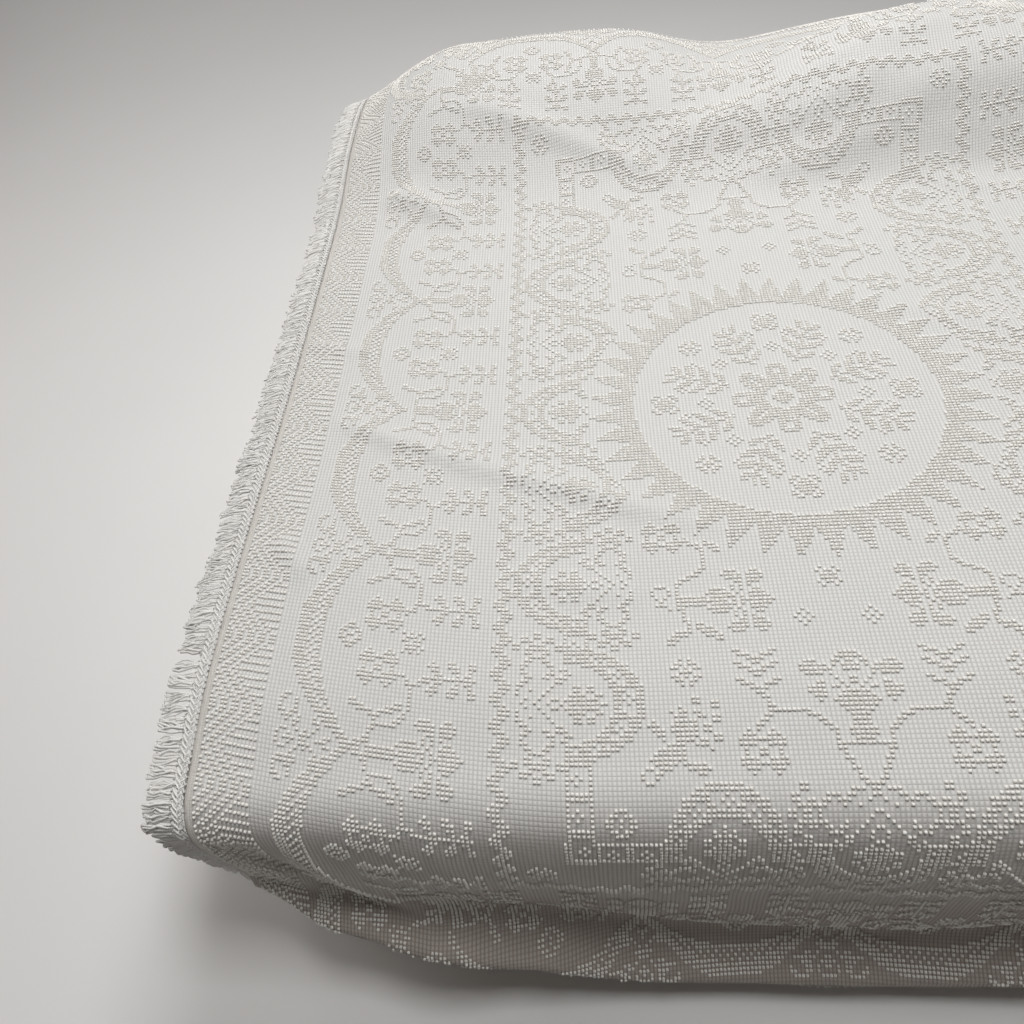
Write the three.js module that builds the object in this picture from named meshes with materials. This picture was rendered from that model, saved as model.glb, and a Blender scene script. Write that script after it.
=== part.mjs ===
// A candlewick bedspread on a bed. The cloth is one thin sheet: flat on the mattress, over two
// pillows at the head end, down over the foot edge, out into a soft roll and tucked in between
// the mattress and the base. A tape and a netted fringe are sewn along both long edges.
//
// Millimetres, +Z up, +Y towards the head end. The origin is on the floor under the middle of
// the bed. "across" is measured from the middle line of the bed, and "along" from the middle of
// the woven pattern, positive towards the head end.

import * as THREE from "three";

// ---------------------------------------------------------------- driving dimensions

const base = { width: 1920, height: 270, footInset: 25, headInset: 10 };
const mattress = { width: 1930, length: 2030, height: 290, cornerRadius: 70 };
const mattressEdge = { side: 30, end: 60, drop: 60, bottom: 20 };     // how its edges round off
const pillow = { length: 740, depth: 375, height: 165, across: 478, sideHeight: 42 };
const pillowAlong = { left: 1055, right: 950 };

const cloth = { width: 1890, thickness: 3, toFootEdge: 674 };
const edgeTurn = { radius: 62, reach: 66 };                           // over the mattress edge
const pullIn = { width: 12, from: 700, fullDrop: 300 };               // of the hanging foot corners
const restGap = 0.5;        // cloth to the mattress top
const tuckGap = 0.75;       // cloth to both sides of the tuck
const seatGap = 0.4;        // between pieces that rest on or are sewn to each other
const hemGap = 0.9;         // the fringe to the hem it hangs from
const pillowGap = 6;        // pillow to the cloth over it
const tuckDepth = 45;       // how far the foot hem goes in between mattress and base

const tape = { width: 14, thickness: 1, fromHem: 1 };
const fringe = { thickness: 2, heading: 22, length: 76, toothPitch: 46, toothShare: 0.72 };
const fringeDroop = { level: [0.16, 0.42], steep: [1.2, 1.5], steepFrom: 230 };   // radians, mm

const colour = { cotton: 0xdfddd6, tape: 0xe6d9cf, pillow: 0xe9e7e2, mattress: 0xe4e1da, base: 0xb9b2a6 };

// ---------------------------------------------------------------- heights and places

const baseTop = base.height;
const mattressBottom = baseTop + seatGap;
const mattressTop = mattressBottom + mattress.height;
const clothLevel = mattressTop + restGap + cloth.thickness / 2;
const footFace = -mattress.length / 2;
const footEdge = footFace + mattressEdge.end;             // where the flat top ends at the foot
const patternMiddle = footEdge + cloth.toFootEdge;        // the pattern's middle, in Y
const tuckLevel = mattressBottom - tuckGap - cloth.thickness / 2;
const tuckClearance = cloth.thickness + 2 * tuckGap;
const sideEdge = mattress.width / 2 - mattressEdge.side + 2;     // the long edges turn down past it

// The head end, a row for each line across the bed: how far along it is, how far it has dropped
// over the end of the mattress, and its share of the hump's full height on the left side and on
// the right side, where the pillow lies nearer the foot.
const headRows = [
  { along: 560, drop: 0, left: 0, right: 0 },
  { along: 640, drop: 0, left: 0.01, right: 0.08 },
  { along: 720, drop: 0, left: 0.1, right: 0.44 },
  { along: 790, drop: 0, left: 0.28, right: 0.8 },
  { along: 870, drop: 0, left: 0.57, right: 0.98 },
  { along: 960, drop: 0, left: 0.84, right: 1 },
  { along: 1050, drop: 0, left: 0.97, right: 0.87 },
  { along: 1130, drop: 0, left: 1, right: 0.72 },
  { along: 1180, drop: 0, left: 0.94, right: 0.62 },
  { along: 1225, drop: 0, left: 0.83, right: 0.53 },
  { along: 1262, drop: 4, left: 0.68, right: 0.44 },
  { along: 1288, drop: 23, left: 0.4, right: 0.28 },
  { along: 1304, drop: 60, left: 0.08, right: 0.06 },
  { along: 1307, drop: 120, left: 0, right: 0 },
  { along: 1309, drop: 200, left: 0, right: 0 },
];

// The hump over the two pillows: its height on either side of a dip, how it fades at the long
// edges, and where the left side's shape passes into the right side's.
const hump = { height: 188, rise: 12, riseWidth: 200, dip: 75, dipAcross: 40, dipWidth: 200 };
const humpEnds = { outer: 1080, width: 450 };
const humpChange = { from: -250, width: 550 };

// The foot end, a row for each line down the bed: the valley above the roll and the nose of the
// roll, each by how far out from the edge of the flat top and how far down.
const footRows = [
  { across: 0, valleyOut: 138, valleyDrop: 436, noseOut: 192, noseDrop: 480 },
  { across: 300, valleyOut: 136, valleyDrop: 424, noseOut: 187, noseDrop: 462 },
  { across: 500, valleyOut: 120, valleyDrop: 352, noseOut: 174, noseDrop: 394 },
  { across: 640, valleyOut: 108, valleyDrop: 302, noseOut: 168, noseDrop: 330 },
  { across: 800, valleyOut: 94, valleyDrop: 272, noseOut: 140, noseDrop: 305 },
  { across: 945, valleyOut: 71, valleyDrop: 236, noseOut: 81, noseDrop: 270 },
];

// Broad folds at the head end, each a ridge between two places on the cloth.
const broadFolds = [
  { fromAcross: -260, fromAlong: 770, toAcross: 640, toAlong: 960, height: 20, width: 42 },
  { fromAcross: -90, fromAlong: 905, toAcross: 720, toAlong: 1060, height: 18, width: 40 },
  { fromAcross: -820, fromAlong: 765, toAcross: -620, toAlong: 620, height: 14, width: 40 },
];

// ---------------------------------------------------------------- small shape functions

const clamp = (value, low, high) => Math.min(Math.max(value, low), high);
const mix = (a, b, t) => a + (b - a) * t;

function smooth(t) {
  const s = clamp(t, 0, 1);
  return s * s * (3 - 2 * s);
}

const bell = (distance, width) => Math.exp(-((distance / width) ** 2));

// Reads a column of a table at a place between two rows, with soft turns at the rows.
function readTable(rows, key, place, column) {
  let i = 0;
  while (i < rows.length - 2 && rows[i + 1][key] < place) i++;
  const t = (place - rows[i][key]) / (rows[i + 1][key] - rows[i][key]);
  return mix(rows[i][column], rows[i + 1][column], mix(t, smooth(t), 0.5));
}

// Full height of the cloth over the pillows along one line down the bed.
function humpHeight(across) {
  const higherOnTheRight = hump.height + hump.rise * Math.tanh(across / hump.riseWidth);
  const dipBetween = hump.dip * bell(across - hump.dipAcross, hump.dipWidth);
  return (higherOnTheRight - dipBetween) * smooth((humpEnds.outer - Math.abs(across)) / humpEnds.width);
}

// The share of the hump's full height that a row of the head end has along one line down the bed.
function humpShare(row, across) {
  return mix(row.left, row.right, smooth((across - humpChange.from) / humpChange.width));
}

function foldHeight(across, along) {
  let height = 0;
  for (const fold of broadFolds) {
    const runX = fold.toAcross - fold.fromAcross;
    const runY = fold.toAlong - fold.fromAlong;
    const length = Math.hypot(runX, runY);
    const x = across - fold.fromAcross;
    const y = along - fold.fromAlong;
    const lengthwise = (x * runX + y * runY) / length / length;
    const aside = (x * runY - y * runX) / length;
    const ends = smooth(lengthwise / 0.3) * smooth((1 - lengthwise) / 0.3);
    height += fold.height * ends * bell(aside, fold.width);
  }
  return height;
}

// ---------------------------------------------------------------- the cloth's own surface

const leadIn = 40;            // of the foot line, on the flat top before the edge
const flatRollDrop = 262;     // the roll's nose where the cloth hardly rolls at all
const fullRollDrop = 480;     // and where it rolls fully

// The line that the cloth follows past the foot edge, as points (out, down).
function footLine(across) {
  const place = Math.abs(across);
  const read = (column) => readTable(footRows, "across", place, column);
  const [valleyOut, valleyDrop] = [read("valleyOut"), read("valleyDrop")];
  const [noseOut, noseDrop] = [read("noseOut"), read("noseDrop")];
  const fullness = clamp((noseDrop - flatRollDrop) / (fullRollDrop - flatRollDrop), 0.04, 1);
  const turn = (angle) => [edgeTurn.reach * Math.sin(angle), edgeTurn.radius * (1 - Math.cos(angle))];
  const turned = turn(1.3);
  const low = [noseOut - 8 - 18 * fullness, noseDrop + 10 + 16 * fullness];
  const mouth = [mattressEdge.end - 2, clothLevel - tuckLevel];
  const back = (share, pull) => [
    mix(low[0], mouth[0], share) - pull * fullness,
    mix(low[1], mouth[1], share),
  ];
  const points = [
    [-leadIn, 0],
    [0, 0],
    turn(0.45),
    turn(0.9),
    turned,
    [mix(turned[0], valleyOut, 0.5) + 2, mix(turned[1], valleyDrop, 0.5)],
    [valleyOut, valleyDrop],
    [noseOut, noseDrop],
    low,
    back(0.35, 30),
    back(0.7, 12),
    mouth,
    [mouth[0] - 15, mouth[1]],
    [mouth[0] - tuckDepth, mouth[1]],
  ];
  return points.map(([out, down]) => new THREE.Vector3(0, footEdge - out, clothLevel - down));
}

function headLine(across) {
  const height = humpHeight(across);
  return headRows.map((row) => new THREE.Vector3(
    0, patternMiddle + row.along, clothLevel - row.drop + humpShare(row, across) * height));
}

const lineFrom = (points) => new THREE.CatmullRomCurve3(points, false, "centripetal");

// A long edge of the cloth turns down a little over the side of the mattress.
function sideTurn(across) {
  const beyond = Math.abs(across) - sideEdge;
  if (beyond <= 0) return { across, drop: 0 };
  const angle = beyond / edgeTurn.radius;
  const flat = Math.abs(across) - beyond;
  return {
    across: Math.sign(across) * (flat + edgeTurn.radius * Math.sin(angle)),
    drop: edgeTurn.radius * (1 - Math.cos(angle)),
  };
}

// Makes one line of the cloth's middle surface, from the foot hem to the head hem.
function clothColumn(across) {
  const foot = lineFrom(footLine(across));
  const footLength = foot.getLength() - leadIn;
  const head = lineFrom(headLine(across));
  const headLength = head.getLength();
  const side = sideTurn(across);
  const corner = smooth((Math.abs(across) - pullIn.from) / (cloth.width / 2 - pullIn.from));
  const column = [];
  const lastTurn = turnSteps[0];
  const rollSteps = rollShares.map((share) => lastTurn + share * (footLength - lastTurn));
  for (const past of [...rollSteps, ...turnSteps]) {
    const point = foot.getPointAt((leadIn + past) / (leadIn + footLength));
    const hanging = smooth(past / 80);
    const pulled = Math.sign(across) * pullIn.width * corner * smooth(past / pullIn.fullDrop);
    column.push(new THREE.Vector3(side.across - pulled, point.y, point.z - side.drop * (1 - hanging)));
  }
  for (const along of flatRows) {
    const lift = foldHeight(across, along);
    column.push(new THREE.Vector3(side.across, patternMiddle + along, clothLevel + lift - side.drop));
  }
  for (const past of headSteps) {
    const point = head.getPointAt(past / headLength);
    const lift = foldHeight(across, point.y - patternMiddle);
    column.push(new THREE.Vector3(side.across, point.y, point.z + lift - side.drop));
  }
  return column;
}

// Where the lines across the cloth run: round the roll by share of its length, and elsewhere
// by the distance along the cloth.
const rollShares = [1, 0.965, 0.94, 0.91, 0.88, 0.85, 0.81, 0.77, 0.735, 0.7, 0.67, 0.64, 0.61, 0.575,
  0.53, 0.47, 0.4, 0.32, 0.24, 0.16, 0.08];
const turnSteps = [95, 80, 66, 54, 42, 30, 18, 8];
const flatRows = [-674, -640, -540, -430, -320, -210, -100, 10, 120, 230, 340, 440, 500];
const headSteps = [0, 60, 110, 150, 190, 225, 260, 295, 330, 370, 410, 450, 490, 530, 570, 610,
  645, 680, 715, 745, 775, 805, 840, 880];
const hem = cloth.width / 2;
const tapeColumn = 15;      // the outermost line but one, this far in from the hem
const halfColumns = [0, 100, 200, 300, 400, 500, 590, 680, 750, 800, 845, 885, 915, hem - tapeColumn, hem];
const columns = [...halfColumns.slice(1).reverse().map((value) => -value), ...halfColumns];

// ---------------------------------------------------------------- closed bodies from grids

// Joins a grid of points on top and one below into a closed body. Cells that keep() turns down
// are left open, with walls round them.
function bodyBetween(topGrid, bottomGrid, keep = () => true) {
  const [across, along] = [topGrid.length, topGrid[0].length];
  const positions = [];
  for (const point of [topGrid, bottomGrid].flat(2)) positions.push(point.x, point.y, point.z);
  const top = (i, j) => i * along + j;
  const bottom = (i, j) => across * along + top(i, j);
  const kept = (i, j) => i >= 0 && j >= 0 && i < across - 1 && j < along - 1 && keep(i, j);
  const faces = [];
  const quad = (a, b, c, d) => faces.push(a, b, c, a, c, d);
  for (let i = 0; i < across - 1; i++) {
    for (let j = 0; j < along - 1; j++) {
      if (!kept(i, j)) continue;
      quad(top(i, j), top(i + 1, j), top(i + 1, j + 1), top(i, j + 1));
      quad(bottom(i, j), bottom(i, j + 1), bottom(i + 1, j + 1), bottom(i + 1, j));
      if (!kept(i, j - 1)) quad(top(i, j), bottom(i, j), bottom(i + 1, j), top(i + 1, j));
      if (!kept(i, j + 1)) quad(top(i + 1, j + 1), bottom(i + 1, j + 1), bottom(i, j + 1), top(i, j + 1));
      if (!kept(i - 1, j)) quad(top(i, j + 1), bottom(i, j + 1), bottom(i, j), top(i, j));
      if (!kept(i + 1, j)) quad(top(i + 1, j), bottom(i + 1, j), bottom(i + 1, j + 1), top(i + 1, j + 1));
    }
  }
  return geometryFrom(positions, faces);
}

// Drops the points that no face uses, so that the body holds only its own corners.
function geometryFrom(positions, faces) {
  const used = new Map();
  const kept = [];
  const index = faces.map((old) => {
    if (!used.has(old)) {
      used.set(old, used.size);
      kept.push(positions[3 * old], positions[3 * old + 1], positions[3 * old + 2]);
    }
    return used.get(old);
  });
  const geometry = new THREE.BufferGeometry();
  geometry.setAttribute("position", new THREE.Float32BufferAttribute(kept, 3));
  geometry.setIndex(index);
  return geometry;
}

// The way each point of a grid faces, up on the flat top of the bed.
function gridNormals(grid) {
  const at = (i, j) => grid[clamp(i, 0, grid.length - 1)][clamp(j, 0, grid[0].length - 1)];
  return grid.map((line, i) => line.map((point, j) => {
    const acrossWay = at(i + 1, j).clone().sub(at(i - 1, j)).normalize();
    const ahead = at(i, j + 1).clone().sub(point).normalize();
    const behind = point.clone().sub(at(i, j - 1)).normalize();
    return acrossWay.cross(ahead.add(behind)).normalize();
  }));
}

const offsetGrid = (grid, normals, distance) => grid.map((line, i) => line.map(
  (point, j) => point.clone().addScaledVector(normals[i][j], distance)));

// Stacks closed rings of points into a body with a flat top and bottom.
function stackedBody(rings) {
  const count = rings[0].length;
  const positions = rings.flat().flatMap((p) => [p.x, p.y, p.z]);
  const faces = [];
  const at = (ring, k) => ring * count + (k % count);
  for (let ring = 0; ring < rings.length - 1; ring++) {
    for (let k = 0; k < count; k++) {
      faces.push(at(ring, k), at(ring, k + 1), at(ring + 1, k + 1));
      faces.push(at(ring, k), at(ring + 1, k + 1), at(ring + 1, k));
    }
  }
  const cap = (ring, facesUp) => {
    const centre = rings[ring].reduce((sum, p) => sum.add(p), new THREE.Vector3()).divideScalar(count);
    const middle = positions.push(centre.x, centre.y, centre.z) / 3 - 1;
    for (let k = 0; k < count; k++) {
      if (facesUp) faces.push(middle, at(ring, k), at(ring, k + 1));
      else faces.push(middle, at(ring, k + 1), at(ring, k));
    }
  };
  cap(0, false);
  cap(rings.length - 1, true);
  return geometryFrom(positions, faces);
}

function roundedRing(halfX, halfY, cornerX, cornerY, height, stepsPerCorner) {
  const ring = [];
  for (let corner = 0; corner < 4; corner++) {
    const sideX = corner === 0 || corner === 3 ? 1 : -1;
    const sideY = corner < 2 ? 1 : -1;
    for (let step = 0; step <= stepsPerCorner; step++) {
      const angle = (corner + step / stepsPerCorner) * Math.PI / 2;
      ring.push(new THREE.Vector3(
        sideX * (halfX - cornerX) + cornerX * Math.cos(angle),
        sideY * (halfY - cornerY) + cornerY * Math.sin(angle), height));
    }
  }
  return ring;
}

// ---------------------------------------------------------------- the pieces

const bed = new THREE.Group();

function addPiece(name, geometry, hex) {
  const material = new THREE.MeshStandardMaterial({ color: hex, roughness: 0.92, metalness: 0 });
  const mesh = new THREE.Mesh(geometry, material);
  mesh.name = name;
  bed.add(mesh);
}

function bedBase() {
  const tuckRoom = tuckClearance - seatGap;
  const foot = footFace + base.footInset;
  const head = mattress.length / 2 - base.headInset;
  const side = new THREE.Shape();
  side.moveTo(foot, 0);
  side.lineTo(head, 0);
  side.lineTo(head, baseTop);
  side.lineTo(foot + tuckDepth, baseTop);
  side.lineTo(foot + tuckDepth, baseTop - tuckRoom);
  side.lineTo(foot, baseTop - tuckRoom);
  side.closePath();
  const geometry = new THREE.ExtrudeGeometry(side, { depth: base.width, bevelEnabled: false });
  geometry.translate(0, 0, -base.width / 2);
  geometry.applyMatrix4(new THREE.Matrix4().makeBasis(
    new THREE.Vector3(0, 1, 0), new THREE.Vector3(0, 0, 1), new THREE.Vector3(1, 0, 0)));
  return geometry;
}

function mattressBody() {
  const [halfX, halfY] = [mattress.width / 2, mattress.length / 2];
  const [stepsBelow, stepsAbove, stepsPerCorner] = [3, 6, 6];
  const radius = mattress.cornerRadius;
  const rings = [];
  const ring = (insetX, insetY, height) => rings.push(roundedRing(
    halfX - insetX, halfY - insetY, radius - insetX, radius - insetY, height, stepsPerCorner));
  for (let step = 0; step <= stepsBelow; step++) {
    const angle = step / stepsBelow * Math.PI / 2;
    const inset = mattressEdge.bottom * (1 - Math.sin(angle));
    ring(inset, inset, mattressBottom + mattressEdge.bottom * (1 - Math.cos(angle)));
  }
  for (let step = 0; step <= stepsAbove; step++) {
    const angle = step / stepsAbove * Math.PI / 2;
    const inset = 1 - Math.cos(angle);
    ring(mattressEdge.side * inset, mattressEdge.end * inset,
      mattressTop - mattressEdge.drop * (1 - Math.sin(angle)));
  }
  return stackedBody(rings);
}

// A pillow is flat below, widest a little above that, and crowned. Its crown stays under the cloth.
function pillowBody(across, pillowMiddle) {
  const corners = 32;
  const floor = mattressTop + seatGap;
  const outline = (share, height) => {
    const ring = [];
    for (let k = 0; k < corners; k++) {
      const angle = k / corners * 2 * Math.PI;
      const [c, s] = [Math.cos(angle), Math.sin(angle)];
      const reach = (Math.abs(c) ** 4 + Math.abs(s) ** 4) ** -0.25;
      const x = across + share * reach * c * pillow.length / 2;
      const along = pillowMiddle + share * reach * s * pillow.depth / 2;
      ring.push(new THREE.Vector3(x, patternMiddle + along, height(x, along)));
    }
    return ring;
  };
  const clothOver = (x, along) => {
    const row = {};
    for (const column of ["drop", "left", "right"]) {
      row[column] = readTable(headRows, "along", along, column);
    }
    return clothLevel - cloth.thickness / 2 + humpHeight(x) * humpShare(row, x) - row.drop;
  };
  const crown = (share) => (x, along) => {
    const filled = mix(pillow.sideHeight, pillow.height, Math.sqrt(1 - share ** 2.4));
    return Math.min(floor + filled, clothOver(x, along) - pillowGap * (1 + share));
  };
  const rings = [outline(0.94, () => floor), outline(0.985, () => floor + pillow.sideHeight / 3)];
  for (const share of [1, 0.95, 0.86, 0.74, 0.58, 0.4, 0.2]) {
    rings.push(outline(share, crown(share)));
  }
  return stackedBody(rings);
}

const clothGrid = columns.map(clothColumn);
const clothNormals = gridNormals(clothGrid);

function bedspreadBody() {
  const half = cloth.thickness / 2;
  return bodyBetween(offsetGrid(clothGrid, clothNormals, half), offsetGrid(clothGrid, clothNormals, -half));
}

// The rows of the cloth, from the roll at the foot to the head hem, that show along a long edge.
const firstSewnRow = rollShares.indexOf(0.7);

// The tape lies on the cloth between its two outermost lines.
function tapeBody(side) {
  const outer = side < 0 ? 0 : columns.length - 1;
  const inner = side < 0 ? 1 : columns.length - 2;
  const strip = (distance) => {
    const edge = (fromHem) => clothGrid[outer].map((point, j) => {
      const share = fromHem / tapeColumn;
      const place = point.clone().lerp(clothGrid[inner][j], share);
      const facing = clothNormals[outer][j].clone().lerp(clothNormals[inner][j], share).normalize();
      return place.addScaledVector(facing, distance);
    }).slice(firstSewnRow);
    const edges = [edge(tape.fromHem), edge(tape.width)];
    return side < 0 ? edges : edges.reverse();
  };
  const under = cloth.thickness / 2 + seatGap;
  return bodyBetween(strip(under + tape.thickness), strip(under));
}

// The fringe leaves the hem almost level along the side of the bed, and hangs ever steeper down
// the foot corner and the head corner.
function fringeBody(side) {
  const edge = side < 0 ? 0 : columns.length - 1;
  const line = lineFrom(clothGrid[edge].slice(firstSewnRow));
  const teeth = Math.round(line.getLength() / fringe.toothPitch);
  const across = [0, fringe.heading, (fringe.heading + fringe.length) / 2, fringe.length];
  const gap = (1 - fringe.toothShare) / 2;
  const shares = [];
  for (let tooth = 0; tooth < teeth; tooth++) {
    shares.push((tooth + gap) / teeth, (tooth + 1 - gap) / teeth);
  }
  const strands = shares.map((share) => {
    const start = line.getPointAt(share);
    const steepness = smooth((clothLevel - start.z) / fringeDroop.steepFrom);
    const droop = [0, 1].map((end) => mix(fringeDroop.level[end], fringeDroop.steep[end], steepness));
    const points = [start.clone().add(new THREE.Vector3(side * hemGap, 0, 0))];
    for (let row = 1; row < across.length; row++) {
      const step = across[row] - across[row - 1];
      const angle = mix(...droop, (across[row] + across[row - 1]) / 2 / fringe.length);
      const way = new THREE.Vector3(side * Math.cos(angle) * step, 0, -Math.sin(angle) * step);
      points.push(points[row - 1].clone().add(way));
    }
    return points;
  });
  const grid = across.map((_, row) => strands.map((points) => points[row]));
  const ordered = side < 0 ? grid.reverse() : grid;
  const headingCell = side < 0 ? across.length - 2 : 0;
  const normals = gridNormals(ordered);
  const half = fringe.thickness / 2;
  const keep = (i, j) => i === headingCell || j % 2 === 0;
  return bodyBetween(offsetGrid(ordered, normals, half), offsetGrid(ordered, normals, -half), keep);
}

addPiece("bed_base", bedBase(), colour.base);
addPiece("mattress", mattressBody(), colour.mattress);
addPiece("pillow_left", pillowBody(-pillow.across, pillowAlong.left), colour.pillow);
addPiece("pillow_right", pillowBody(pillow.across, pillowAlong.right), colour.pillow);
addPiece("bedspread", bedspreadBody(), colour.cotton);
addPiece("edge_tape_left", tapeBody(-1), colour.tape);
addPiece("edge_tape_right", tapeBody(1), colour.tape);
addPiece("fringe_left", fringeBody(-1), colour.cotton);
addPiece("fringe_right", fringeBody(1), colour.cotton);

export default bed;
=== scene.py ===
import math

import bpy
import numpy as np
from mathutils import Matrix, Vector


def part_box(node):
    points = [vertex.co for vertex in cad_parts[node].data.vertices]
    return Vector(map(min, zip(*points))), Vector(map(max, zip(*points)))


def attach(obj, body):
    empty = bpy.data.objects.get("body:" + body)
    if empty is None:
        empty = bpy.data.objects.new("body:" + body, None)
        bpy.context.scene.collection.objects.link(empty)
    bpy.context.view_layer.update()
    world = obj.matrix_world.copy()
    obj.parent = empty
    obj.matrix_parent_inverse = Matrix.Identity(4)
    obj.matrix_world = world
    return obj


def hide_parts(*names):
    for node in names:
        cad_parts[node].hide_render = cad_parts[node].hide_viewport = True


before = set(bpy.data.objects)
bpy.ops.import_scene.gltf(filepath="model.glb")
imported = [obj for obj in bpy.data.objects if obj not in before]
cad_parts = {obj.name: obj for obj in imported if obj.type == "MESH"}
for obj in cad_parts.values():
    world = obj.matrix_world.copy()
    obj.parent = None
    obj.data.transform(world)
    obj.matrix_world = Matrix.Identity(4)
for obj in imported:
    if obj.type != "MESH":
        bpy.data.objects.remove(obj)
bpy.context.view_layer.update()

# A candlewick bedspread on a bed. Metres, +Z up, +Y to the head end. "across" is measured from
# the middle line of the bed and "along" from the middle of the woven pattern, both on the cloth.

MM = 0.001
HALF_TURN = math.pi
rng = np.random.default_rng(7)

for each in bpy.context.selected_objects:
    each.select_set(False)

# ------ camera

CAMERA_PLACE = Vector((-0.325, -1.27, 1.613))
CAMERA_HEADING = 11.6     # degrees, to the left of straight towards the head end
CAMERA_DOWN = 53.2        # degrees, below level
CAMERA_ROLL = -12.2       # degrees, about its own line of sight
FIELD_OF_VIEW = 67.3      # degrees, over the width of the picture


def place_camera():
    data = bpy.data.cameras.new("camera")
    data.sensor_width = 36
    data.angle = math.radians(FIELD_OF_VIEW)
    data.clip_start = 0.02
    data.clip_end = 60
    camera = bpy.data.objects.new("camera", data)
    bpy.context.scene.collection.objects.link(camera)
    heading = Matrix.Rotation(math.radians(CAMERA_HEADING), 3, "Z")
    tilt = Matrix.Rotation(math.radians(90 - CAMERA_DOWN), 3, "X")
    roll = Matrix.Rotation(math.radians(CAMERA_ROLL), 3, "Z")
    turn = heading @ tilt @ roll
    camera.matrix_world = Matrix.Translation(CAMERA_PLACE) @ turn.to_4x4()
    bpy.context.scene.camera = camera


# ------ sizes, as the solids have them

MATTRESS_LOW, MATTRESS_HIGH = (np.array(corner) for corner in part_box("mattress"))
BASE_LOW, BASE_HIGH = (np.array(corner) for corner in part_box("bed_base"))

CLOTH_SOLID = 3 * MM                              # thickness of the cloth's solid
REST_GAP = 0.5 * MM                               # between the mattress and the cloth on it
TUCK_GAP = 0.75 * MM                              # over and under the cloth in the tuck
CLOTH_LEVEL = MATTRESS_HIGH[2] + REST_GAP + CLOTH_SOLID / 2
TUCK_LEVEL = MATTRESS_LOW[2] - TUCK_GAP - CLOTH_SOLID / 2
EDGE_END = 60 * MM                                # how far the mattress edge rounds off at the ends
EDGE_SIDE = 30 * MM                               # and at the sides
TURN_RADIUS, TURN_REACH = 62 * MM, 66 * MM        # of the cloth's turn over the foot edge
FOOT_EDGE = MATTRESS_LOW[1] + EDGE_END
TO_FOOT_EDGE = 674 * MM                           # from the pattern's middle
PATTERN_MIDDLE = FOOT_EDGE + TO_FOOT_EDGE
SIDE_EDGE = MATTRESS_HIGH[0] - EDGE_SIDE + 2 * MM
HEM = 945 * MM                                    # half the cloth's width
# the hanging foot end draws in at its sides, from this far out, in full after this much drop
PULL_IN, PULL_FROM, PULL_DROP = 12 * MM, 700 * MM, 300 * MM
CORNER_PULL, CORNER_PULL_FROM = 8 * MM, 230 * MM  # the hem also draws in before the foot edge
TUCK_DEPTH = 45 * MM                              # how far the cloth goes in over the base
LEAD_IN = 40 * MM                                 # level part at the start of the foot line
HEAD_START = 560 * MM                             # the cloth starts to rise here
CREASED_TO = 1260 * MM                            # no creases past the head end
FOOT_RISE = 14 * MM                               # the cloth stands off before the foot edge
SHOULDER = 10 * MM                                # and is fuller just below it
HUMP, HUMP_LEAN, HUMP_DIP = 188, 12, 75           # mm: hump, more of it at right, dip in it
FLAT_DROP, FULL_DROP = 262, 480                   # mm: drop of the roll where flat and where full

# along, drop over the mattress end, share of the hump on the left and on the right (mm and shares)
HEAD_ROWS = np.array([
    (560, 0, 0, 0), (640, 0, 0.01, 0.08), (720, 0, 0.1, 0.44), (790, 0, 0.28, 0.8),
    (870, 0, 0.57, 0.98), (960, 0, 0.84, 1), (1050, 0, 0.97, 0.87), (1130, 0, 1, 0.72),
    (1180, 0, 0.94, 0.62), (1225, 0, 0.83, 0.53), (1262, 4, 0.68, 0.44), (1288, 23, 0.4, 0.28),
    (1304, 60, 0.08, 0.06), (1307, 120, 0, 0), (1309, 200, 0, 0),
])
# across, valley out and down, nose of the roll out and down (mm)
FOOT_ROWS = np.array([
    (0, 138, 436, 192, 480), (300, 136, 424, 187, 462), (500, 120, 352, 174, 394),
    (640, 108, 302, 168, 330), (800, 94, 272, 140, 305), (945, 71, 236, 81, 270),
])
# a ridge from one place to another (across, along), its height and width (mm)
BROAD_FOLDS = [
    ((-260, 770), (640, 960), 20, 42),
    ((-90, 905), (720, 1060), 18, 40),
    ((-820, 765), (-620, 620), 14, 40),
]


# ------ small shape functions

def mix(a, b, t):
    return a + (b - a) * t


def smooth(t):
    s = np.clip(t, 0, 1)
    return s * s * (3 - 2 * s)


def bell(distance, width):
    return np.exp(-(np.asarray(distance) / width) ** 2)


def distance_along(points):
    """The distance from the first point of a line to each of its points."""
    steps = np.linalg.norm(np.diff(points, axis=-2), axis=-1)
    return np.concatenate([np.zeros((*steps.shape[:-1], 1)), np.cumsum(steps, axis=-1)], axis=-1)


def between(value, start, rise, end, fall):
    """0 outside start to end and 1 well inside, with soft slopes as long as rise and fall."""
    return smooth((value - start) / rise) * smooth((end - value) / fall)


def unit(vectors):
    """The same directions, each 1 long."""
    return vectors / np.maximum(np.linalg.norm(vectors, axis=-1, keepdims=True), 1e-12)


def read_table(table, place, column):
    """Reads a column of a table at a place between two rows, with soft turns at the rows."""
    keys = table[:, 0]
    i = int(np.clip(np.searchsorted(keys, place) - 1, 0, len(keys) - 2))
    t = (place - keys[i]) / (keys[i + 1] - keys[i])
    return mix(table[i, column], table[i + 1, column], mix(t, smooth(t), 0.5))


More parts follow.
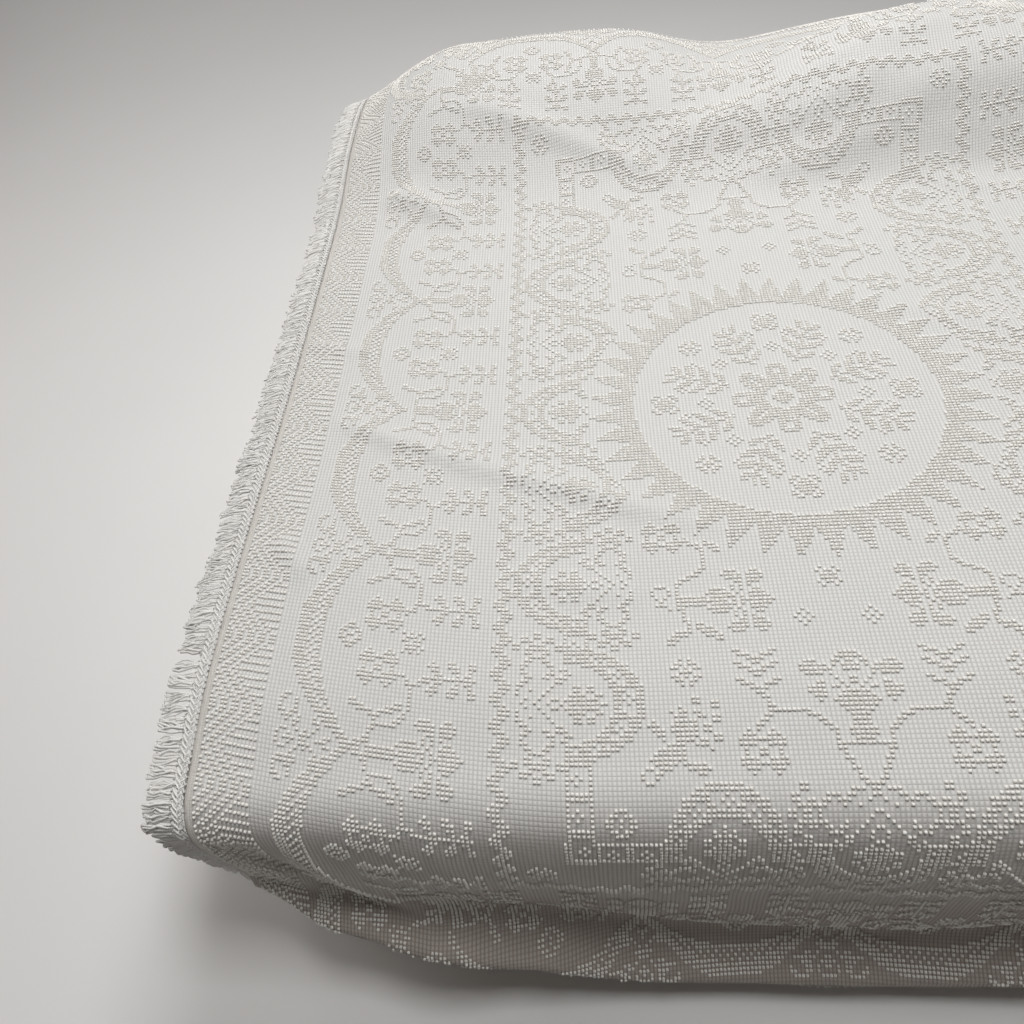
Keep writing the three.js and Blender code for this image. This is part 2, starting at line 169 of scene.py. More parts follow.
def line_through(points, steps=14):
    """A smooth line through points, with the distance along it at each of its own points."""
    points = np.asarray(points, float)
    held = np.vstack([2 * points[0] - points[1], points, 2 * points[-1] - points[-2]])
    gaps = np.maximum(np.linalg.norm(np.diff(held, axis=0), axis=1) ** 0.5, 1e-6)
    t = np.linspace(0, 1, steps, endpoint=False)[:, None]
    parts = []
    for k in range(len(points) - 1):
        a, b, c, d = held[k:k + 4]
        before, here, after = gaps[k:k + 3]
        start = (b - a) / before - (c - a) / (before + here) + (c - b) / here
        end = (c - b) / here - (d - b) / (here + after) + (d - c) / after
        start, end = start * here, end * here
        cubic = (2 * b - 2 * c + start + end) * t ** 3 + (-3 * b + 3 * c - 2 * start - end) * t ** 2
        parts.append(cubic + start * t + b)
    line = np.vstack(parts + [points[-1:]])
    return distance_along(line), line


def at_distance(line, distances):
    along, points = line
    return np.stack([np.interp(distances, along, column) for column in points.T], axis=-1)


# ------ the cloth's own surface

def hump_height(across):
    """How far the pillows lift the cloth: more on the right, with a dip between the two."""
    high = HUMP + HUMP_LEAN * np.tanh(across / 0.2) - HUMP_DIP * bell(across - 0.04, 0.2)
    return high * smooth((1.08 - abs(across)) / 0.45) * MM


def head_line(across):
    share = smooth((across + 0.25) / 0.55)
    shares = mix(HEAD_ROWS[:, 2], HEAD_ROWS[:, 3], share)
    heights = CLOTH_LEVEL - HEAD_ROWS[:, 1] * MM + shares * hump_height(across)
    return line_through(np.column_stack([PATTERN_MIDDLE + HEAD_ROWS[:, 0] * MM, heights]))


def foot_line(across):
    """The line that the cloth follows past the foot edge, out over the roll and into the tuck."""
    valley_out, valley_drop, nose_out, nose_drop = (
        read_table(FOOT_ROWS, abs(across) / MM, column) * MM for column in (1, 2, 3, 4))
    fullness = (nose_drop / MM - FLAT_DROP) / (FULL_DROP - FLAT_DROP)
    fullness = float(np.clip(fullness, 0.04, 1))
    turn = [(TURN_REACH * math.sin(angle), TURN_RADIUS * (1 - math.cos(angle)))
            for angle in (0.45, 0.9, 1.3)]
    low = (nose_out - (8 + 18 * fullness) * MM, nose_drop + (10 + 16 * fullness) * MM)
    mouth = (EDGE_END - 2 * MM, CLOTH_LEVEL - TUCK_LEVEL)

    def back(share, pull):
        return (mix(low[0], mouth[0], share) - pull * fullness * MM, mix(low[1], mouth[1], share))

    points = np.array([
        (-LEAD_IN, 0), (0, 0), *turn,
        (mix(turn[2][0], valley_out, 0.5) + 2 * MM, mix(turn[2][1], valley_drop, 0.5)),
        (valley_out, valley_drop), (nose_out, nose_drop), low, back(0.35, 30), back(0.7, 12),
        mouth, (mouth[0] - 15 * MM, mouth[1]), (mouth[0] - TUCK_DEPTH, mouth[1]),
    ])
    return line_through(np.column_stack([FOOT_EDGE - points[:, 0], CLOTH_LEVEL - points[:, 1]]))


def foot_lengths(across):
    """How much cloth there is past the foot edge, for each place across."""
    return np.array([foot_line(place)[0][-1] - LEAD_IN for place in across])


def side_turn(across):
    """A long edge of the cloth turns down a little over the side of the mattress."""
    beyond = max(abs(across) - SIDE_EDGE, 0)
    angle = beyond / TURN_RADIUS
    place = math.copysign(abs(across) - beyond + TURN_RADIUS * math.sin(angle), across)
    return place, TURN_RADIUS * (1 - math.cos(angle))


def broad_fold_height(across, along):
    height = np.zeros(np.broadcast(across, along).shape)
    for start, end, rise, width in BROAD_FOLDS:
        run = (np.array(end) - start) * MM
        length = np.hypot(*run)
        x, y = across - start[0] * MM, along - start[1] * MM
        lengthwise = (x * run[0] + y * run[1]) / length ** 2
        aside = (x * run[1] - y * run[0]) / length
        height = height + rise * MM * between(lengthwise, 0, 0.3, 1, 0.3) * bell(aside, width * MM)
    return height


# Soft creases, each a bow from its start past its bend to its end (across, along, in mm), with its
# height and width.
CREASES = [
    ((-850, 750), (-725, 700), (-600, 600), 13, 20),
    ((-700, 950), (-400, 850), (-50, 650), 19, 24),
    ((-900, 50), (-550, -150), (-100, -300), 14, 19),
    ((-900, -250), (-850, -325), (-800, -350), 8, 18),
    ((-950, 250), (-850, 200), (-750, 200), 7, 20),
    ((-500, -350), (-400, -400), (-250, -400), 5, 20),
    ((-50, 800), (200, 750), (400, 850), 13, 30),
    ((0, 700), (250, 650), (500, 800), 10, 26),
    ((100, 300), (400, 100), (800, 50), 8, 24),
    ((300, 700), (500, 550), (800, 500), 9, 26),
    ((400, -200), (650, -350), (900, -350), 8, 22),
]

# Folds of the hanging foot end in the same columns, with the second place past the foot edge.
DROP_FOLDS = [
    ((-950, 50), (-900, 400), (-100, 550), 11, 24),
    ((-900, 50), (-850, 350), (-550, 400), -17, 23),
    ((-800, 50), (-750, 300), (-550, 400), 8, 22),
    ((-700, 250), (0, 650), (750, 250), -20, 44),
    ((-450, 150), (-250, 250), (-50, 350), 5, 22),
    ((100, 100), (350, 200), (400, 400), 6, 24),
    ((950, 50), (750, 300), (350, 450), 13, 24),
    ((-600, 50), (-550, 150), (-550, 250), 4, 20),
]


def bowed_line(start, bend, end, steps=24):
    share = np.linspace(0, 1, steps)[:, None]
    start, bend, end = (np.array(place) * MM for place in (start, bend, end))
    return (1 - share) ** 2 * start + 2 * share * (1 - share) * bend + share ** 2 * end


def crease_height(folds, across, along):
    height = np.zeros(np.broadcast(across, along).shape)
    for start, bend, end, rise, width in folds:
        line = bowed_line(start, bend, end)
        distances = distance_along(line)
        nearest, share, side = np.full(height.shape, np.inf), *np.zeros((2, *height.shape))
        for place, run, distance in zip(line, np.diff(line, axis=0), distances):
            length = np.hypot(*run)
            x, y = across - place[0], along - place[1]
            t = np.clip((x * run[0] + y * run[1]) / length ** 2, 0, 1)
            away = np.hypot(x - t * run[0], y - t * run[1])
            here = (away, (distance + t * length) / distances[-1], np.sign(x * run[1] - y * run[0]))
            nearest, share, side = np.where(away < nearest, here, (nearest, share, side))
        # one side falls off faster, and a soft pull runs along both
        widths = np.where(side > 0, 0.8, 1.35) * width * MM
        section = 0.8 * bell(nearest, widths) + 0.2 * bell(nearest, 3 * widths)
        height = height + rise * MM * between(share, 0, 0.25, 1, 0.3) * section
    return height


def unevenness(across, along):
    """Where the cloth lies a little off the mattress, never below it."""
    broad = np.sin(5.1 * across + 2.3 * along + 0.6) + np.sin(-3.7 * across + 6.3 * along + 2.1)
    narrow = np.sin(13.0 * across + 4.0 * along) * np.sin(5.0 * across - 11.0 * along + 1.3)
    return (1.6 * np.clip(broad + 0.4, 0, 3) + 1.1 * (narrow + 1)) * MM


def cloth_surface(across, rows):
    """Points of the cloth's middle surface. across is one value for each line down the bed, and
    rows gives the distances along the cloth for each: below -TO_FOOT_EDGE over the foot."""
    across = np.asarray(across, float)
    past = -TO_FOOT_EDGE - rows
    over = np.maximum(past, 0)
    points = np.zeros((*rows.shape, 3))
    for i, place in enumerate(across):
        x, side_drop = side_turn(place)
        foot, head = foot_line(place), head_line(place)
        foot_points = at_distance(foot, np.minimum(over[i] + LEAD_IN, foot[0][-1]))
        head_points = at_distance(head, np.clip(rows[i] - HEAD_START, 0, head[0][-1]))
        y, z = (np.where(past[i] > 0, foot_points[:, k],
                         np.where(rows[i] > HEAD_START, head_points[:, k], flat))
                for k, flat in enumerate((PATTERN_MIDDLE + rows[i], CLOTH_LEVEL)))
        z = z - side_drop * (1 - smooth(over[i] / 0.08))
        corner = smooth((abs(place) - PULL_FROM) / (HEM - PULL_FROM))
        to_corner = (CORNER_PULL_FROM + past[i]) / (CORNER_PULL_FROM + 50 * MM)
        pulled = PULL_IN * smooth(over[i] / PULL_DROP) + CORNER_PULL * smooth(to_corner)
        points[i] = np.column_stack([x - math.copysign(1, place) * corner * pulled, y, z])
    along = points[:, :, 1] - PATTERN_MIDDLE
    before = along + TO_FOOT_EDGE
    sideways = np.broadcast_to(across[:, None], along.shape)
    held_at_hem = mix(0.35, 1, smooth((HEM - np.abs(sideways)) / 0.08))
    loose = crease_height(CREASES, sideways, along) + unevenness(sideways, along) * held_at_hem
    points[:, :, 2] += (broad_fold_height(sideways, along)
                        + loose * between(along, -TO_FOOT_EDGE, 0.1, CREASED_TO, 0.06)
                        + FOOT_RISE * between(before, -0.04, 0.19, 0.9, 0.6))
    waves = np.sin(9 * sideways + 3 * past) + 0.7 * np.sin(17 * sideways - 5 * past + 1.0)
    folded_to = foot_lengths(across)[:, None] - TUCK_DEPTH
    shoulder = SHOULDER * smooth((0.8 - np.abs(sideways)) / 0.3)
    out = (2.2 * MM * (waves + 1.3) * between(past, 0.03, 0.15, 0.62, 0.25)
           + crease_height(DROP_FOLDS, sideways, over) * between(past, 0.01, 0.06, folded_to, 0.12)
           + shoulder * between(past, 0.01, 0.13, 0.3, 0.18))
    # never nearer to the mattress than its own thickness allows
    room = MATTRESS_LOW[1] - 4 * MM - points[:, :, 1]
    points[:, :, 1] -= np.where(past > 0.07, np.maximum(out, -np.maximum(room, 0)), out)
    return points


def surface_normals(points):
    return unit(np.cross(np.gradient(points, axis=0), np.gradient(points, axis=1)))


# ------ the tufted pattern

# One cell of the chart is one place for a tuft. A quarter of the cloth is charted, counted from
# the middle lines, and the other three mirror it.
CELL = 6.3 * MM
ACROSS_CELLS, ALONG_CELLS = 150, 217

DAISY = """
..##..##..
.########.
####..####
.###..###.
..#.##.#..
..#.##.#..
.###..###.
####..####
.########.
..##..##..
"""
LITTLE_RING = """
..##..
.####.
##..##
#.##.#
##..##
.####.
..##..
"""
SMALL_FLOWER = """
..#.#..
.##.##.
##.#.##
..###..
##.#.##
.##.##.
..#.#..
"""
CROSS_FLOWER = """
#.#..#
.####.
##.###
.####.
#.##.#
.#..#.
"""
BLOSSOM = """
.##..##.
##.##.##
#.####.#
.######.
.######.
#.####.#
##.##.##
.##..##.
"""
DIAMOND = """
..#..
.#.#.
#.#.#
.#.#.
..#..
"""
SPECK = """
.#.
#.#
.#.
"""
FERN = """
..#...##...##
.###..###..##
..##...##..#.
...##...#.##.
#############
...##...#.##.
..##...##..#.
.###..###..##
..#...##...##
"""
PALMETTE = """
....##.....##..
...#..#...#..#.
...#.##...##.#.
.....#.....#...
..##..#.#.#....
.#..#..###...##
.#.###.##..###.
.#..#..###...##
..##..#.#.#....
.....#.....#...
...#.##...##.#.
...#..#...#..#.
....##.....##..
"""
CURL = """
.###.
##.##
#...#
#...#
##..#
.##..
"""
LEAF = """
..##
.###
###.
##..
"""
SPREAD_LEAVES = """
##.........##
####.....####
..####.####..
.....###.....
......#......
"""
OPEN_LEAF = """
.###.
#...#
#...#
.#.#.
..#..
.###.
#....
"""
CHEVRON = """
##......##
.###..###.
...####...
....##....
"""
# stands on its stem, with a leaf to each side and a crown of loose petals
SPRAY = """
............##......
............##..##..
.........#......##..
.......#.##.##......
........###..##.##..
...#....#####...##..
..###..######.##....
...###.######.##....
....##..#####...##..
.....#..####.##.##..
......####..###.....
....######.....#....
...#######..........
..########..........
...#####.#####......
.##.###...#####.....
#..##.......##......
#..#................
.##.................
"""
# lies with its stem to the left, opening into five petals
BELL = """
............###...##...
...........#####.####..
............####.####..
..............##.###...
.............#.#.#.....
........####.#.#..##...
.......######.#..####..
#######.######.#.#####.
############.#.########
#######.######.#.#####.
.......######.#..####..
........####.#.#..##...
.............#.#.#.....
..............##.###...
............####.####..
...........#####.####..
............###...##...
"""
# the left half of the flower that stands on the middle line
VASE_FLOWER = """
.........##
........###
.###...##.#
######.#.##
#######..##
.####.#....
.......#..#
...##...#.#
.####.##.#.
.####...###
..###..####
...#..#####
.......####
........###
.........##
.........##
.........##
........###
........###
.........##
..........#
"""
# one side of the chain of flowers in a loop of the ribbon, down to the loop's middle
LOOP_FLOWERS = """
.....##...............
..##.##.##............
..###..###............
##..####..##..........
##.######.##..........
...##..##.............
....####..............
...##..##.............
..##....##............
..#......#.##.........
..##....##..##........
...##..##.###.........
..##......##..........
.##......#....##.##...
.#..#...#.....##.##...
.#.....#.....####..##.
...#..#..##.########..
..#..#..#..#.#########
"""


def motif(drawing):
    return np.array([[mark == "#" for mark in row] for row in drawing.split()], bool)


def set_cells(chart, rows, columns):
    """Sets cells of a chart, apart from any that lie off it."""
    on_it = (rows >= 0) & (rows < chart.shape[0]) & (columns >= 0) & (columns < chart.shape[1])
    chart[rows[on_it], columns[on_it]] = True


def put(chart, drawing, middle_row, middle_column,
        flip_rows=False, flip_columns=False, turned=False):
    """Sets a motif on a chart with its middle at a place. Only the part on the chart is set."""
    marks = motif(drawing)
    if turned:
        marks = marks.T
    if flip_rows:
        marks = marks[::-1]
    if flip_columns:
        marks = marks[:, ::-1]
    top = int(round(middle_row - marks.shape[0] / 2))
    left = int(round(middle_column - marks.shape[1] / 2))
    rows, columns = np.nonzero(marks)
    set_cells(chart, top + rows, left + columns)


def stem(chart, places):
    """Sets a line of tufts through places, as (row, column)."""
    set_cells(chart, *np.floor(line_through(places, steps=60)[1]).astype(int).T)


ARCH, END_ARCH = 52, 47.5  # cells from joint to joint of the arches, on a long edge and an end
BORDER_CELLS = 106         # depth of the whole border from the hem
END_SHIFT = 5              # the border of an end stands this much further in
SERPENTINE_LINE = 70       # the row that the wavy stripe starts on
MEDALLION, TEETH, PETALS = 55.5, 40, 8
TOOTH_ROOT, TOOTH_BASE, TOOTH = 41.8, 45.6, 9.8    # inner and outer side of the ring, teeth on it
BLOOM, BLOOM_EYE, EYE = 14.5, 4.6, 2.6             # the rosette, the hole in it, the dot in that
# the stems inside an arch: rows from the hem, and cells from the arch's joint
ARCH_STEMS = [
    [(42, 0), (42.5, 3), (43, 5), (47.5, 5.4), (50.4, 8), (51.8, 11.5), (51.5, 15),
     (50, 17), (48, 18)],
    [(51.5, 15.5), (55, 16.6)], [(43, 5), (43.5, 7)],
]
# the stems of the field, in cells across and along from the middle
FIELD_STEMS = [
    [(32.7, 47.5), (30.5, 49.5), (28.2, 51.5), (28.4, 54.5), (30, 57.5), (33.5, 59.5),
     (35.7, 61.5), (35.5, 64)],
    [(35.5, 66.5), (34.6, 69), (33.4, 71.5), (34.5, 74)],
    [(19.6, 88), (18.6, 90.3), (17.6, 92.1), (14, 92.4), (10.9, 92.7), (8.4, 94), (6.4, 96),
     (4.9, 100), (3.6, 103.4), (2, 106), (0.3, 108)],
    [(17.8, 92.8), (19.6, 94.4), (21.4, 96.2)], [(5, 100), (2.4, 99.6), (0, 99.4)],
]


def arch_crescent(border, middle, half):
    """A crescent thick at its middle, whose tips cross its neighbours'. Rows count from the hem."""
    row, column = np.mgrid[0:border.shape[0], 0:border.shape[1]]
    t = np.abs(column + 0.5 - middle) / half
    outer = 20.5 + 16.5 * t ** 2.3
    inner = 27.6 + 12.0 * t ** 2.6
    depth = (row + 0.5 - outer) / np.maximum(inner - outer, 1)
    solid = (depth < 0.5) | (inner - row - 0.5 < 1) | (t > 0.8)
    border |= (t <= 1.1) & (depth >= 0) & (row <= inner) & (solid | ((row + column) % 2 == 0))


def arch_sprays(border, middle, half):
    """The flowers, ferns and curved stems that stand inside one arch."""
    put(border, LITTLE_RING, 34.5, middle, turned=True)
    put(border, CROSS_FLOWER, 51, middle)
    for side in (-1, 1):
        put(border, DAISY, 43, middle + side * 7)
        put(border, FERN, 60, middle + side * 9, turned=True)
        joint = middle + side * half
        for places in ARCH_STEMS:
            stem(border, [(row, joint - side * from_joint) for row, from_joint in places])
        put(border, SPREAD_LEAVES, 43.5, joint - side * 8.5, turned=True, flip_columns=side < 0)


def arch_joint(border, place):
    """The leaves and curls where two arches meet."""
    put(border, BELL, 53.5, place, turned=True)
    put(border, PALMETTE, 26.5, place, turned=True)
    for side in (-1, 1):
        put(border, CURL, 22, place + side * 7, turned=True, flip_columns=side < 0)


def zigzag_band(border, period):
    """A band of slanting lines that turn back and forth, with striped triangles further in."""
    row, column = np.mgrid[0:14, 0:border.shape[1]]
    slant = np.abs(column % period - period / 2) / (period / 2) * 8
    border[2:16] |= np.where(row > 13 - slant, column % 2 == 0, (row + slant).astype(int) % 3 != 2)


def serpentine(border):
    for column in range(border.shape[1]):
        start = SERPENTINE_LINE + (0, 1, 2, 2, 1, 0)[column % 6]
        border[start:start + 3, column] = True


RIBBON_LINE, RIBBON_PITCH, PANE = 90, 30, 7
LOOP_OUT, LOOP_ALONG, HOLE_OUT, HOLE_ALONG = 15.2, 13.0, 8.2, 8.6
LOOP_START = 12            # a loop takes up this much of the ribbon to each side of its middle


def ribbon_loop(border, middle, way):
    """A ribbon of small panes that bows out to one side, with a chain of flowers on the other."""
    rows, columns = np.mgrid[0:border.shape[0], 0:border.shape[1]] + 0.5
    out, along = (rows - RIBBON_LINE) * way, np.abs(columns - middle)
    reach = np.maximum(out, 0)
    outer = np.hypot(reach / LOOP_OUT, along / LOOP_ALONG)
    inner = np.hypot(reach / HOLE_OUT, along / HOLE_ALONG)
    band = (outer < 1) & (inner > 1) & (out > -3)
    turn = np.degrees(np.arctan2(along, reach))
    bars = np.minimum.reduce([np.abs(turn - place) for place in (17, 50)]) < 4.5
    bars |= (np.abs(out - 1.8) < 1) & (along > HOLE_ALONG)
    border |= band & ((outer > 0.86) | (inner < 1.2) | bars | (out < -2))
    for place in (0, 33, 66, 90):
        c, s = math.cos(math.radians(place)), math.sin(math.radians(place))
        to_rim, to_hole = (1 / math.hypot(c / high, s / wide) for high, wide in (
            (LOOP_OUT, LOOP_ALONG), (HOLE_OUT, HOLE_ALONG)))
        radius = (to_rim + to_hole) / 2
        for side in (-1, 1):
            put(border, SPECK, RIBBON_LINE + way * radius * c, middle + side * radius * s)
    lines, marks = np.nonzero(motif(LOOP_FLOWERS))
    rows = np.floor(RIBBON_LINE + way * (marks - 14.5)).astype(int)
    for side in (-1, 1):
        set_cells(border, rows, np.floor(middle + side * (17 - lines) + 0.1).astype(int))


def ribbon_panes(chart, line, start, end):
    """A straight length of the ribbon: panes with a speck in each and double bars in between."""
    chart[[line - 3, line + 2], start:end] = True
    for bar in (start, start + 1):
        chart[line - 3:line + 3, bar:end:PANE] = True
    for column in range(start + 4, end - 1, PANE):
        put(chart, SPECK, line, column + 0.5)


def ribbon_border(border, loops, last):
    for k in range(loops):
        middle = RIBBON_PITCH * k
        ribbon_loop(border, middle, -1 if k % 2 == 0 else 1)
        end = last if k == loops - 1 else middle + RIBBON_PITCH - LOOP_START
        ribbon_panes(border, RIBBON_LINE, middle + LOOP_START, end)


def border_strip(cells, zigzag, arch, arches, loops, ribbon_end):
    """The border down one side of the quarter. Its rows are counted in from the hem."""
    border = np.zeros((BORDER_CELLS, cells), bool)
    zigzag_band(border, zigzag)
    for k in range(arches):
        arch_crescent(border, arch * (k + 0.5), arch / 2)
        arch_sprays(border, arch * (k + 0.5), arch / 2)
    for k in range(arches + 1):
        arch_joint(border, arch * k)
    serpentine(border)
    ribbon_border(border, loops, ribbon_end)
    return border


def corner_arch(quarter):
    """The round arch in the corner, with its own flowers. Here the chart is the quarter cloth."""
    middle_a, middle_b, radius = 111.5, 175.5, 22
    a, b = np.mgrid[0:ACROSS_CELLS, 0:ALONG_CELLS] + 0.5
    x, y = a - middle_a, b - middle_b
    away = np.hypot(x, y)
    outward = (x + y) / math.sqrt(2) / np.maximum(away, 1)
    thick = 3 + 6.5 * smooth((outward + 0.55) / 1.5)
    depth = (radius - away) / thick
    inside = (depth > 0) & (depth < 1) & (outward > -0.62)
    dotted = (depth > 0.5) & (radius - away < thick - 1) & (outward > 0)
    quarter |= inside & (~dotted | ((a + b).astype(int) % 2 == 0))
    put(quarter, DAISY, middle_a + 5, middle_b + 5)
    for side_a, side_b in ((-9, 5), (5, -9)):
        put(quarter, DAISY, middle_a + side_a, middle_b + side_b)
        put(quarter, LITTLE_RING, middle_a + 1.3 * side_a, middle_b + 1.3 * side_b - 5)
    put(quarter, CROSS_FLOWER, middle_a - 3, middle_b - 3)
    stem(quarter, [(middle_a - 6, middle_b - 6), (middle_a - 11, middle_b - 9),
                   (middle_a - 18, middle_b - 17)])
    put(quarter, FERN, middle_a - 14, middle_b - 17)
    put(quarter, FERN, middle_a - 18, middle_b - 12, turned=True)


def ribbon_corner(quarter):
    """Where the ribbon turns from the long edge to the end."""
    line_a, line_b = ACROSS_CELLS - RIBBON_LINE, ALONG_CELLS - END_SHIFT - RIBBON_LINE
    quarter[line_a - 3:line_a + 4, line_b + 2:line_b + 4] = True
    quarter[line_a + 2:line_a + 4, line_b - 3:line_b + 4] = True
    quarter[line_a - 3, line_b - 3] = True
    put(quarter, SPECK, line_a, line_b)
    put(quarter, SMALL_FLOWER, line_a + 9, line_b + 9)
    put(quarter, LITTLE_RING, line_a - 9, line_b - 7)


def field_sprays(quarter):
    """The loose flowers between the medallion and the ribbon border at the foot."""
    for places in FIELD_STEMS:
        stem(quarter, places)
    for drawing, row, column in (
            (CROSS_FLOWER, 0, 60), (DIAMOND, 7.5, 70.5), (DAISY, 38, 47.5), (LEAF, 26.5, 49.8),
            (LEAF, 30, 72.8), (LEAF, 28, 74.2), (SMALL_FLOWER, 35, 83), (DAISY, 21.5, 101.5)):
        put(quarter, drawing, row, column)
    put(quarter, OPEN_LEAF, 39.8, 64.3, turned=True)
    put(quarter, BELL, 24.5, 65.5, turned=True, flip_rows=True)
    put(quarter, LEAF, 37, 75.4, flip_rows=True)
    put(quarter, SPRAY, 37, 98.5, turned=True, flip_rows=True)
    for place in (79.5, 83.3, 87.2):
        put(quarter, CHEVRON, 19.8, place, turned=True)
    lines, marks = np.nonzero(motif(VASE_FLOWER))
    quarter[10 - marks, 79 + lines] = True


def medallion(cloth_chart):
    """A round medallion with a ring of slanting teeth, a rosette, leaf sprigs and small flowers."""
    across, along = np.mgrid[0:2 * ACROSS_CELLS, 0:2 * ALONG_CELLS] + 0.5
    x, y = across - ACROSS_CELLS, along - ALONG_CELLS
    away, angle = np.hypot(x, y), np.arctan2(y, x)
    cloth_chart[away < MEDALLION] = False
    lean = (angle / (2 * HALF_TURN) * TEETH + (away - 45) * 0.03) % 1
    rim = TOOTH_BASE + TOOTH * np.minimum(lean / 0.72, (1 - lean) / 0.28)
    cloth_chart |= (away > TOOTH_ROOT) & (away < rim)
    wave = np.abs(np.cos(PETALS * angle / 2))
    bloom = (away < BLOOM * (0.6 + 0.4 * wave)) & (away > BLOOM_EYE)
    veins = (np.abs(np.sin(PETALS * angle / 2)) < 0.2) & (away < 12) & (away > 6.5)
    cloth_chart |= (bloom & ~veins) | (away < EYE)
    for k in range(PETALS):
        turn = 2 * HALF_TURN * (k + 0.5) / PETALS
        along_sprig = x * math.cos(turn) + y * math.sin(turn)
        aside = y * math.cos(turn) - x * math.sin(turn)
        for place, reach in ((17, 4.6), (21.5, 5.4), (26, 5.0), (30.5, 3.6)):
            for side in (-1, 1):
                u = along_sprig - place - side * aside * 0.6
                v = side * aside - 0.5
                leaf = (u / 1.5) ** 2 + ((v - reach / 2) / (reach / 2)) ** 2 < 1
                cloth_chart |= leaf & (v > 0)
        cloth_chart |= (np.abs(aside) < 0.6) & (along_sprig > 15) & (along_sprig < 34)
    for k in range(PETALS):
        turn = 2 * HALF_TURN * k / PETALS
        for drawing, distance, beside in (
                (SMALL_FLOWER if k % 2 else BLOSSOM, 33, 0), (DIAMOND, 22, 0),
                (SPECK, 28, -0.19), (SPECK, 28, 0.19)):
            put(cloth_chart, drawing, ACROSS_CELLS + distance * math.cos(turn + beside),
                ALONG_CELLS + distance * math.sin(turn + beside))


def weave_shift(across):
    """The crosswise yarns bow: towards the long edges they lie nearer to the head."""
    return 4.6 * CELL * (np.maximum(np.abs(across) - 60 * CELL, 0) / (47 * CELL)) ** 1.5


def whole_chart():
    """True where the cloth has a tuft, by cells across and along from one corner."""
    quarter = np.zeros((ACROSS_CELLS, ALONG_CELLS), bool)
    field_sprays(quarter)
    a, b = np.mgrid[0:ACROSS_CELLS, 0:ALONG_CELLS]
    from_side, from_end = ACROSS_CELLS - 1 - a, ALONG_CELLS - 1 - END_SHIFT - b
    at_side = from_side < np.minimum(from_end, BORDER_CELLS)
    at_end = ~at_side & (from_end >= 0) & (from_end < BORDER_CELLS)
    side = border_strip(ALONG_CELLS, 18, ARCH, 3, 4, 119)
    end = border_strip(ACROSS_CELLS, 16, END_ARCH, 2, 2, 57)
    quarter[at_side] |= side[from_side[at_side], b[at_side]]
    quarter[at_end] |= end[from_end[at_end], a[at_end]]
    corner_arch(quarter)
    ribbon_corner(quarter)
    half = np.concatenate([quarter[::-1], quarter])
    cloth_chart = np.concatenate([half[:, ::-1], half], axis=1)
    medallion(cloth_chart)
    return cloth_chart


# ------ meshes from arrays

def new_piece(name, points, faces, made, slot, *stands_for):
    """A mesh object from an array of points and arrays of faces, each with one count of corners."""
    mesh = bpy.data.meshes.new(name)
    mesh.vertices.add(len(points))
    mesh.vertices.foreach_set("co", np.asarray(points, np.float32).ravel())
    counts = np.concatenate([np.full(len(part), part.shape[1]) for part in faces])
    corners = np.concatenate([part.ravel() for part in faces]).astype(np.int32)
    mesh.loops.add(len(corners))
    mesh.loops.foreach_set("vertex_index", corners)
    mesh.polygons.add(len(counts))
    starts = np.concatenate([[0], np.cumsum(counts)[:-1]]).astype(np.int32)
    mesh.polygons.foreach_set("loop_start", starts)
    mesh.polygons.foreach_set("use_smooth", np.ones(len(counts), bool))
    mesh.update(calc_edges=True)
    mesh.validate()
    piece = bpy.data.objects.new(name, mesh)
    bpy.context.scene.collection.objects.link(piece)
    give(piece, made)
    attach(piece, "root")
    if stands_for:
        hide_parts(*stands_for)
    return piece


def give(piece, made):
    piece.data.materials.clear()
    piece.data.materials.append(made)


def pairs(u, v):
    """One (u, v) for each point of a grid."""
    return np.stack(np.broadcast_arrays(u, v), axis=-1).reshape(-1, 2)


def set_uv(piece, point_uv):
    mesh = piece.data
    corners = np.zeros(len(mesh.loops), np.int32)
    mesh.loops.foreach_get("vertex_index", corners)
    layer = mesh.uv_layers.new(name="UVMap")
    layer.data.foreach_set("uv", np.asarray(point_uv, np.float32)[corners].ravel())


def set_value(piece, name, values):
    """Keeps one number for each point, which the material reads by its name."""
    attribute = piece.data.attributes.new(name, "FLOAT", "POINT")
    attribute.data.foreach_set("value", np.asarray(values, np.float32))


def grid_faces(rows, columns, closed=False, looped=False):
    """Four-cornered faces over a grid of points, facing up where rows run to +X and columns to +Y.
    A closed grid joins its last column to its first, and a looped one its last row too."""
    i = np.arange(rows if looped else rows - 1)[:, None]
    j = np.arange(columns if closed else columns - 1)[None, :]
    here, beyond, after = i * columns, (i + 1) % rows * columns, (j + 1) % columns
    return np.stack([here + j, beyond + j, beyond + after, here + after], axis=-1).reshape(-1, 4)


def sheet_between(top, bottom):
    """Points and faces of a thin closed sheet between two grids."""
    rows, columns = top.shape[:2]
    count = rows * columns
    over = grid_faces(rows, columns)
    under = over[:, ::-1] + count
    first, last = np.arange(columns), (rows - 1) * columns + np.arange(columns)
    left, right = np.arange(rows) * columns, np.arange(rows) * columns + columns - 1
    walls = []
    for rim, outward in ((first, 1), (last, -1), (left, -1), (right, 1)):
        a, b = rim[:-1], rim[1:]
        wall = np.column_stack([a, b, b + count, a + count])
        walls.append(wall if outward > 0 else wall[:, ::-1])
    points = np.concatenate([top.reshape(-1, 3), bottom.reshape(-1, 3)])
    return points, [over, under, *walls]


YARN_SIDES = 4


